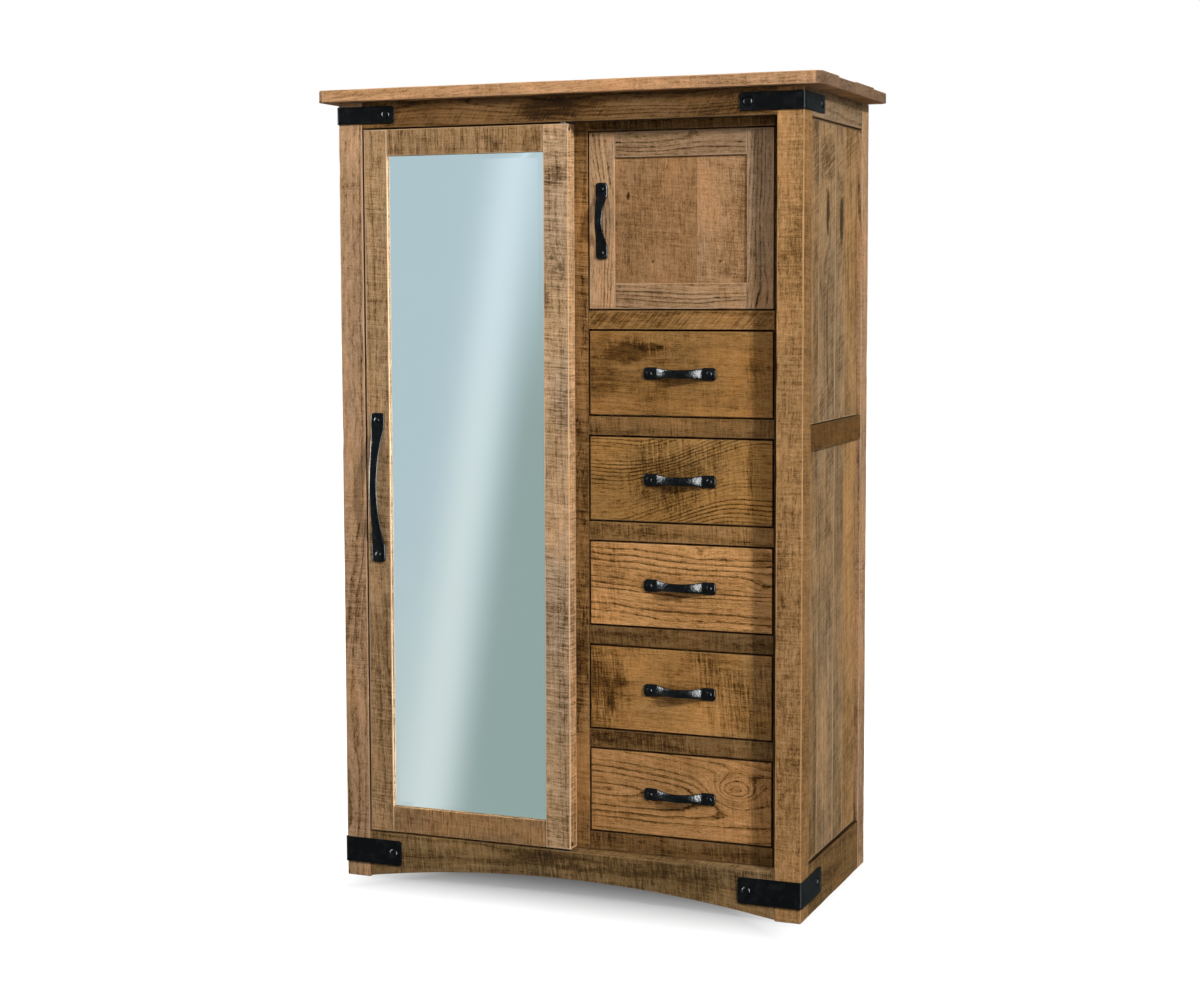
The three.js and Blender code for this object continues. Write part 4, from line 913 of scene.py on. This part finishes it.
piece("compartment_floor_skin", shelf, "case")
print("the bank has", len(drawer_bases), "web frames and a shelf")

# %% [markdown]
# A drawer is a show front on a plain box: two sides, an inner front, a back and a
# thin bottom. Front and box ride on the same body, so that they slide as one.

# %% Drawers
front_tints = [(0.81, 0.65), (0.87, 0.85), (1.0, 0.65), (0.92, 0.65), (0.84, 0.6)]
box_depth, between_sides = (62.3, 492.3), (61.7, 461.3)
for k, base in enumerate(drawer_bases):
    body = f"drawer_{k + 1}"
    front = board([(49.1, 473.9), (bank_plane, 62), (base + 3.6, base + 189.9)], "x", front_woods[k],
                  front_tints[k], seed=121 + k)
    piece(f"{body}_front_skin", [front], body)
    low, high = base + 0.3, base + 160.3
    walls = [((49.5, 61.5), box_depth, (low, high), "y"), ((461.5, 473.5), box_depth, (low, high), "y"),
             (between_sides, (62.3, 74.3), (low, high), "x"),
             (between_sides, (480.3, 492.3), (low, high), "x"),
             (between_sides, (74.5, 480.1), (low + 10, low + 16), "x")]
    box = [board(span, grain, inner_wood, (1.0 + 0.05 * (j % 2), 0.45), step=22, arris=1.0,
                 seed=131 + 7 * k + j) for j, (*span, grain) in enumerate(walls)]
    piece(f"{body}_box_skin", box, body)
print("a drawer box has", len(walls), "boards")

# %% [markdown]
# The mirror door is a frame of two stiles and two rails. The small door has the same
# kind of frame, with a panel of two boards that sits in a groove, free to swell and
# shrink. Each board of a frame gets its own tone.

# %% Doors
stile_height, rail_length, door_thick = (113, 1737.5), (-431.2, -45.3), (0, 38)
mirror_frame = [("left_stile", (-489.8, -431.5), stile_height, "z", door_wood, (1.0, 0.45)),
                ("right_stile", (-45, 15), stile_height, "z", stile_wood, (1.13, 0.5)),
                ("top_rail", rail_length, (1677.5, 1737.5), "x", door_rail_wood, (1.0, 0.55)),
                ("bottom_rail", rail_length, (113, 173), "x", door_rail_wood, (0.93, 0.55))]
for j, (name, x, z, grain, finish, tint) in enumerate(mirror_frame):
    part = board([x, door_thick, z], grain, finish, tint, arris=1.0, seed=151 + j)
    piece(f"mirror_door_{name}_skin", [part], "mirror_door")
leaf_height, leaf_width, seam = (1330.5, 1718.5), (108.8, 414.2), 108.5 + 306 * 0.62
leaf_frame = [((48.5, 108.5), leaf_height, "z", (1.05, 0.5)),
              ((414.5, 474.5), leaf_height, "z", (0.85, 0.4)),
              (leaf_width, (1662.5, 1718.5), "x", (0.79, 0.5)),
              (leaf_width, (1330.5, 1386.5), "x", (0.92, 0.5))]
leaf = [board([x, bank_face, z], grain, leaf_wood, tint, seed=161 + j)
        for j, (x, z, grain, tint) in enumerate(leaf_frame)]
piece("small_door_frame_skin", leaf, "small_door")
infill_halves = [((106, seam - 0.3), (0.85, 0.65)), ((seam + 0.3, 417), (1.07, 0.4))]
infill = [board([x, (47, 57), (1384, 1665)], "z", infill_wood, tint, arris=0.4, seed=165 + j)
          for j, (x, tint) in enumerate(infill_halves)]
piece("small_door_panel_skin", infill, "small_door")
print("doors have", len(mirror_frame), "and", len(leaf), "frame boards")

# %% [markdown]
# A smith makes such a pull from one bar: the two ends are beaten out wide to pads, and
# the middle is drawn in to a waist and bowed out for the hand. So it is a board's
# rings again, with its width and its height changed along the way. The screw heads
# are low domes, dented by the hammer.

# %% Forged pulls
pad_corner, bar_thick = 7, 5.0


def rounded_end(from_end):
    """How much a half width loses near a rounded end: r - sqrt(r^2 - (r - d)^2)."""
    d = from_end.clip(0, pad_corner)
    return pad_corner - np.sqrt(np.maximum(pad_corner**2 - (pad_corner - d) ** 2, 0))


def pull(length, pad, waist, bow):
    """A forged strap: rise = bow (1 - (1 - u)^2) and width = waist + (pad - waist)(1 - u)^3,
    with u the share of the way from the inner end of a pad to the middle. Its crown is
    highest along the middle line, and falls by 1.9 mm at the edges."""
    rings = worn_rings((length, pad, bar_thick), arris=1.9, step=3.0, wobble=0.2, seed=int(length))
    s = rings[..., 0]
    u = (1 - np.abs(s) / (length / 2 - pad)).clip(0, 1)
    soft = np.sqrt(u**2 + 0.0036) - 0.06
    width = (waist + (pad - waist) * (1 - u) ** 3) / pad
    width -= rounded_end(length / 2 - np.abs(s)) * 2 / pad
    crown = np.abs(2 * rings[..., 1] / pad) ** 3 * (0.5 + rings[..., 2] / bar_thick)
    rings[..., 1] *= width
    rings[..., 2] += bar_thick / 2 + bow * (1 - (1 - soft) ** 2) - 1.9 * crown
    return rings


def dome(radius, height, seed=1):
    """A hammered screw head: rings of radius r cos(t) at height h sin(t)."""
    t = np.linspace(0, 1.5, 9)
    rho = np.concatenate([[0.3, 0.95], np.cos(t) ** 0.8])
    z = np.concatenate([[0.0, 0.0], 0.15 + 0.85 * np.sin(t)])
    a = np.linspace(0, 2 * np.pi, 33)[:-1]
    ring = np.stack([np.cos(a), np.sin(a), 0 * a], -1)
    rings = rho[:, None, None] * ring * radius + np.array([0, 0, 1]) * (z * height)[:, None, None]
    return rings * (1 + 0.02 * ripple(rings, seed, 8)[..., None])


print("a pull of 168 mm has rings of shape", pull(168.0, 28.0, 18.5, 20.0).shape)

# %% [markdown]
# The pulls on the doors stand upright and the ones on the drawers lie level. A pull is
# laid on its front with one screw head in the middle of each pad.

# %% Fitting the pulls
def upright(rings, x, y, z):
    """Local length goes up, local height comes out of the front."""
    return np.stack([x + rings[..., 1], y - rings[..., 2], z + rings[..., 0]], -1)


def level(rings, x, y, z):
    """Local length goes to the right, local height comes out of the front."""
    return np.stack([x + rings[..., 0], y - rings[..., 2], z + rings[..., 1]], -1)


def fitted_pull(body, size, lay, x, y, z):
    """A pull and its two screw heads on a body, with the pull's middle at x, y, z."""
    length, pad = size[:2]
    parts = [plain(lay(pull(*size), x, y, z), pull_iron)]
    for s in (-1, 1):
        head = dome(6.8, 3.4, seed=s + 5)
        head[..., 0] += s * (length - pad) / 2
        head[..., 2] += bar_thick - 0.1
        parts.append(plain(lay(head, x, y, z), head_iron))
    piece(f"{body}_pull_skin", parts, body)


long_pull, short_pull = (345.0, 34.0, 19.0, 27.0), (168.0, 28.0, 18.5, 20.0)
fitted_pull("mirror_door", long_pull, upright, -461.5, -0.3, 919.25)
fitted_pull("small_door", short_pull, upright, 78.5, 41.7, 1524.5)
for k, base in enumerate(drawer_bases):
    fitted_pull(f"drawer_{k + 1}", short_pull, level, 261.5, 41.7, base + 96.75)
print("pulls:", 2 + len(drawer_bases))

# %% [markdown]
# A corner strap is flat bar bent once round the corner of the case, and screwed to the
# front and to the side. Its rings are carried along that path: straight, a quarter
# turn, straight. The left straps are the right ones in the mirror.

# %% Corner straps
strap_bend, strap_thick = 2.9, 3.2
strap_start, strap_end = 411, 150
strap_x, strap_y = 555.9, -1.9


def corner_strap(low, high):
    """A flat strap carried along the plan path: a front leg, a quarter turn of length
    bend pi / 2, a side leg."""
    turn_x, turn_y = strap_x - strap_bend, strap_y + strap_bend
    first, arc, last = turn_x - strap_start, strap_bend * np.pi / 2, strap_end - turn_y
    length = first + arc + last
    rings = worn_rings((length, high - low, strap_thick), arris=0.8, step=3.0, wobble=0.15, seed=int(low))
    s, h, out = rings[..., 0] + length / 2, rings[..., 1], rings[..., 2]
    h = h * (1 - rounded_end(np.minimum(s, length - s)) * 2 / (high - low))
    a = ((s - first) / strap_bend).clip(0, np.pi / 2)
    reach = strap_bend + out
    x = np.where(s < first, strap_start + s, turn_x + reach * np.sin(a))
    y = np.where(s < first, strap_y - out, turn_y - reach * np.cos(a) + (s - first - arc).clip(0, None))
    return np.stack([x, y, (low + high) / 2 + h], -1)


for place, low, high in (("top", 1751.5, 1790.5), ("bottom", 33.0, 92.0)):
    middle = (low + high) / 2
    front_head, head = level(dome(10.0, 4.0, 3), 431.0, -3.4, middle), dome(10.0, 4.0, 4)
    side_head = np.stack([557.4 + head[..., 2], 126.0 + head[..., 0], middle + head[..., 1]], -1)
    parts = [plain(corner_strap(low, high), strap_iron), plain(front_head, head_iron),
             plain(side_head, head_iron)]
    piece(f"{place}_right_corner_strap_skin", parts, "case")
    piece(f"{place}_left_corner_strap_skin", [flipped(p) for p in parts], "case")
print("straps stand", strap_thick, "mm thick on two corners, top and bottom")

# %% [markdown]
# A mirror is glass with metal behind it, but from the front only the metal counts: a
# nearly smooth, slightly green-grey mirror. The rod is brushed steel, and the backing
# a thin brown board. Only the mirror gets a skin: the rod, the backing and the pivots
# show no wear, so they keep the shapes of the solids.

# %% Mirror, steel and backing finishes
def two_tone(name, scales, detail, dark, light, smooth, rough, **sockets):
    """A finish whose colour and roughness both follow one noise, stretched by scales."""
    made, r, shader = new_finish(name, **sockets)
    at = r.vector("MULTIPLY", r.node("TexCoord", out=3), scales)
    tone = r.noise(at, 1, *detail)
    r.feed(shader.inputs["Base Color"], r.blend(tone, dark, light))
    r.feed(shader.inputs["Roughness"], r.ease(tone, 0.3, 0.7, smooth, rough))
    return made


mirror_finish = two_tone("mirror_finish", (3.0, 3.0, 3.0), (3, 0.6), (0.86, 0.9, 0.9, 1),
                         (0.9, 0.93, 0.93, 1), 0.012, 0.03, Metallic=1.0)
steel_finish = two_tone("rod_finish", (900.0, 40.0, 40.0), (2,), (0.5, 0.5, 0.5, 1),
                        (0.64, 0.63, 0.61, 1), 0.25, 0.4, Metallic=1.0)
backing_finish = two_tone("backing_finish", (300.0, 300.0, 6.0), (3,), linear((70, 52, 36)),
                          linear((96, 74, 52)), 0.6, 0.8, Specular_IOR_Level=0.2)
print("finishes so far:", len(finish_names))

# %% [markdown]
# The glass is ground to a shallow bevel all round, and its edge is hidden in a rebate.
# Rings close to each corner of the section keep the flat and the bevel flat, because
# a mirror shows the smallest bend.

# %% The mirror
def mirror_sheet(x0, x1, z0, z1, back, front, wide, deep):
    """Nested rectangles, each inset by d and raised to front + deep max(0, 1 - d / wide).
    The first four are the back, the edge and the lip in the rebate; then come the foot
    of the bevel, the bevel and the flat."""
    inset = np.array([0.0, 0.0, 0.0, 9.1, 9.1, 9.3, wide - 0.2, wide + 0.2, wide + 3.0])
    y = front + deep * np.maximum(0, 1 - inset / wide)
    y[:4] = back, back - 0.1, 10.4, 10.3
    share = np.linspace(0, 1, 9)[:-1, None, None]
    plan = np.array([[x0, z0], [x1, z0], [x1, z1], [x0, z1]], float) + inset[:, None, None] * CORNERS
    edge = plan[:, None] * (1 - share) + np.roll(plan, -1, axis=1)[:, None] * share
    edge = edge.transpose(0, 2, 1, 3).reshape(len(inset), -1, 2)
    return np.stack([edge[..., 0], np.broadcast_to(y[:, None], edge.shape[:2]), edge[..., 1]], -1)


glass = mirror_sheet(-440.2, -36.3, 164.3, 1686.2, 15.0, 6.5, 20.0, 0.7)
piece("mirror_glass_skin", [plain(glass, mirror_finish)], "mirror_door")
kept = {"mirror_backing": backing_finish, "hanging_rod": steel_finish,
        "mirror_door_top_pivot": pull_iron, "mirror_door_bottom_pivot": pull_iron}
for name, finish in kept.items():
    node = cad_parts[name]
    node.data.materials.clear()
    node.data.materials.append(finish)
print("solids that keep their own shape:", list(kept))

# %% [markdown]
# A mirror shows the room it stands in. The photograph's mirror shows a soft gradient
# with one slanting bright band, as in a studio with a large white screen. So the world
# paints that gradient where the mirror looks, for reflections only. The way down and
# across are measured in shares of the part of the wall that the mirror shows.

# %% What the mirror sees
DEGREES = 57.2958
left_end, wall_width, top_end, wall_drop = 27.34, 4.17, 3.56, 17.63
world = bpy.data.worlds.new("studio")
bpy.context.scene.world = world
world.use_nodes = True
world.node_tree.nodes.clear()
r = Recipe(world.node_tree)
to = r.split(r.node("TexCoord", out=0))
turn = r.calc("ARCTAN2", r.calc("MULTIPLY", to[0], -1.0), r.calc("MULTIPLY", to[1], -1.0))
azimuth_deg = r.calc("MULTIPLY", turn, DEGREES)
height_deg = r.calc("MULTIPLY", r.calc("ARCSINE", to[2]), DEGREES)
across = r.calc("MULTIPLY", r.calc("SUBTRACT", left_end, azimuth_deg), 1 / wall_width)
down = r.calc("MULTIPLY", r.calc("SUBTRACT", top_end, height_deg), 1 / wall_drop)
off = r.calc("SUBTRACT", across, r.calc("MULTIPLY_ADD", down, -0.645, 0.82))
left_of_band = r.blend(r.ease(down, 0.45, 1.0), linear((176, 195, 202)), linear((188, 200, 200)))
right_of_band = r.blend(r.ease(down, 0.0, 0.42), linear((182, 202, 208)), linear((144, 163, 160)))
band = r.blend(r.ease(down, 0.0, 0.7), linear((206, 222, 230)), linear((205, 216, 215)))
glow = r.calc("POWER", 2.718, r.calc("MULTIPLY", r.calc("MULTIPLY", off, off), -40.0))
wall = r.blend(glow, r.blend(r.ease(off, 0.0, 0.35), left_of_band, right_of_band), band)
print("the mirror shows", wall_width, "by", wall_drop, "degrees of the wall")

# %% [markdown]
# Black iron only shows its shape by what it reflects, so two bright soft boxes hang in
# the reflections. Everything else gets a faint even light, and the camera sees white.

# %% Soft boxes and the world
def soft_box(at_azimuth, at_height, wide, tall):
    """A bright oval in the reflections, (dx / wide)^2 + (dy / tall)^2, soft at its rim."""
    dx = r.calc("DIVIDE", r.calc("SUBTRACT", azimuth_deg, at_azimuth), wide)
    dy = r.calc("DIVIDE", r.calc("SUBTRACT", height_deg, at_height), tall)
    return r.ease(r.squares(dx, dy), 0.2, 1.0, 1.0, 0.0)


box_light, faint_light = 80.0, 0.17
boxes = r.calc("ADD", soft_box(92.0, 20.0, 25.0, 40.0), soft_box(-50.0, 5.0, 20.0, 34.0))
wall = r.blend(boxes, wall, (0.8, 0.8, 0.8, 1.0))
behind = r.ease(r.calc("ABSOLUTE", azimuth_deg), 70.0, 120.0, 1.12, 0.4)
glossy = r.node("Background", {"Color": wall, "Strength": r.calc("MULTIPLY_ADD", boxes, box_light, behind)})
ambient = r.node("Background", {"Color": (1.0, 0.985, 0.96, 1.0), "Strength": faint_light})
white = r.node("Background", {"Color": (1.0, 1.0, 1.0, 1.0), "Strength": 1.0})
path = r.node("LightPath", out=None).outputs
seen = r.calc("MAXIMUM", path["Is Camera Ray"], path["Is Transmission Ray"])
unseen = r.node("MixShader", {0: path["Is Glossy Ray"], 1: ambient, 2: glossy})
r.node("OutputWorld", {"Surface": r.node("MixShader", {0: seen, 1: unseen, 2: white})}, out=None)
print("the world has", len(world.node_tree.nodes), "nodes")

# %% [markdown]
# A strong lamp on the right draws the marks of the saw and throws the shadow of the
# case on the recessed bank, a large one on the left and in front fills it in, and a
# third lights the back, which no photograph shows. None of them shows in a mirror.

# %% Lamps
def lamp(name, place, target, size, power):
    """A square lamp of that size in metres, turned so that its -z looks at the target:
    back = place - target, side = up x back."""
    light = bpy.data.lights.new(name, "AREA")
    light.size, light.energy = size, power
    made = bpy.data.objects.new(name, light)
    bpy.context.scene.collection.objects.link(made)
    back = np.array(place, float) - np.array(target, float)
    back /= np.linalg.norm(back)
    side = np.cross([0, 0, 1], back)
    side /= np.linalg.norm(side)
    axes = Matrix(np.column_stack([side, np.cross(back, side), back]).tolist()).to_4x4()
    made.matrix_world = Matrix.Translation(place) @ axes
    made.visible_camera = made.visible_glossy = False


lamp("key_lamp", (-1.3, -2.3, 3.3), (-0.1, -0.2, 1.4), 2.2, 59)
lamp("right_lamp", (5.5, -3.3, 4.1), (0.3, -0.2, 1.2), 0.6, 470)
lamp("back_lamp", (-3.2, 4.8, 3.6), (0.0, 0.25, 1.0), 1.5, 380)
print("lamps:", len(bpy.data.lights))

# %% [markdown]
# The studio's floor is so bright that it drowns in the white of the picture, except
# for a soft shadow under the case. So the floor glows for the camera away from the
# case, and the glow fades towards the case, a painted shadow round its foot, down to a
# dark grey that takes the real shadow under it.

# %% The floor
reach, sunk = 40.0, -0.001
floor_corners = [(x * reach, y * reach, sunk) for x, y in ((-1, -1), (1, -1), (1, 1), (-1, 1))]
floor_mesh = bpy.data.meshes.new("floor")
floor_mesh.from_pydata(floor_corners, [], [(0, 1, 2, 3)])
floor = bpy.data.objects.new("floor", floor_mesh)
bpy.context.scene.collection.objects.link(floor)
floor.visible_glossy = False
floor_finish, r, shader = new_finish("floor_finish", Base_Color=(0.12, 0.12, 0.12, 1.0), Roughness=0.9,
                                     Specular_IOR_Level=0.1, Emission_Color=(1.0, 1.0, 1.0, 1.0))
floor_mesh.materials.append(floor_finish)
spot = r.split(r.node("TexCoord", out=3))
dx, dy = (r.calc("SUBTRACT", r.calc("ABSOLUTE", spot[k]), half) for k, half in ((0, 0.414), (1, 0.25)))
# painted shadow: the camera's glow rises from a tenth under the case to full outside it
lift = r.ease(r.calc("MAXIMUM", dx, dy), -0.185, 0.24, 0.1, 1.0)
r.feed(shader.inputs["Emission Strength"], r.calc("MULTIPLY", lift, r.node("LightPath", out=0)))
print("the floor is", 2 * reach, "m wide")

# %% [markdown]
# Last, the colours are shown as they are, without a film look, and the number of
# faces of the dressed part is printed.

# %% Settings and face counts
bpy.context.scene.view_settings.view_transform = "Standard"
print("faces as triangles:", sum(total_faces), "most in a piece:", max(total_faces))
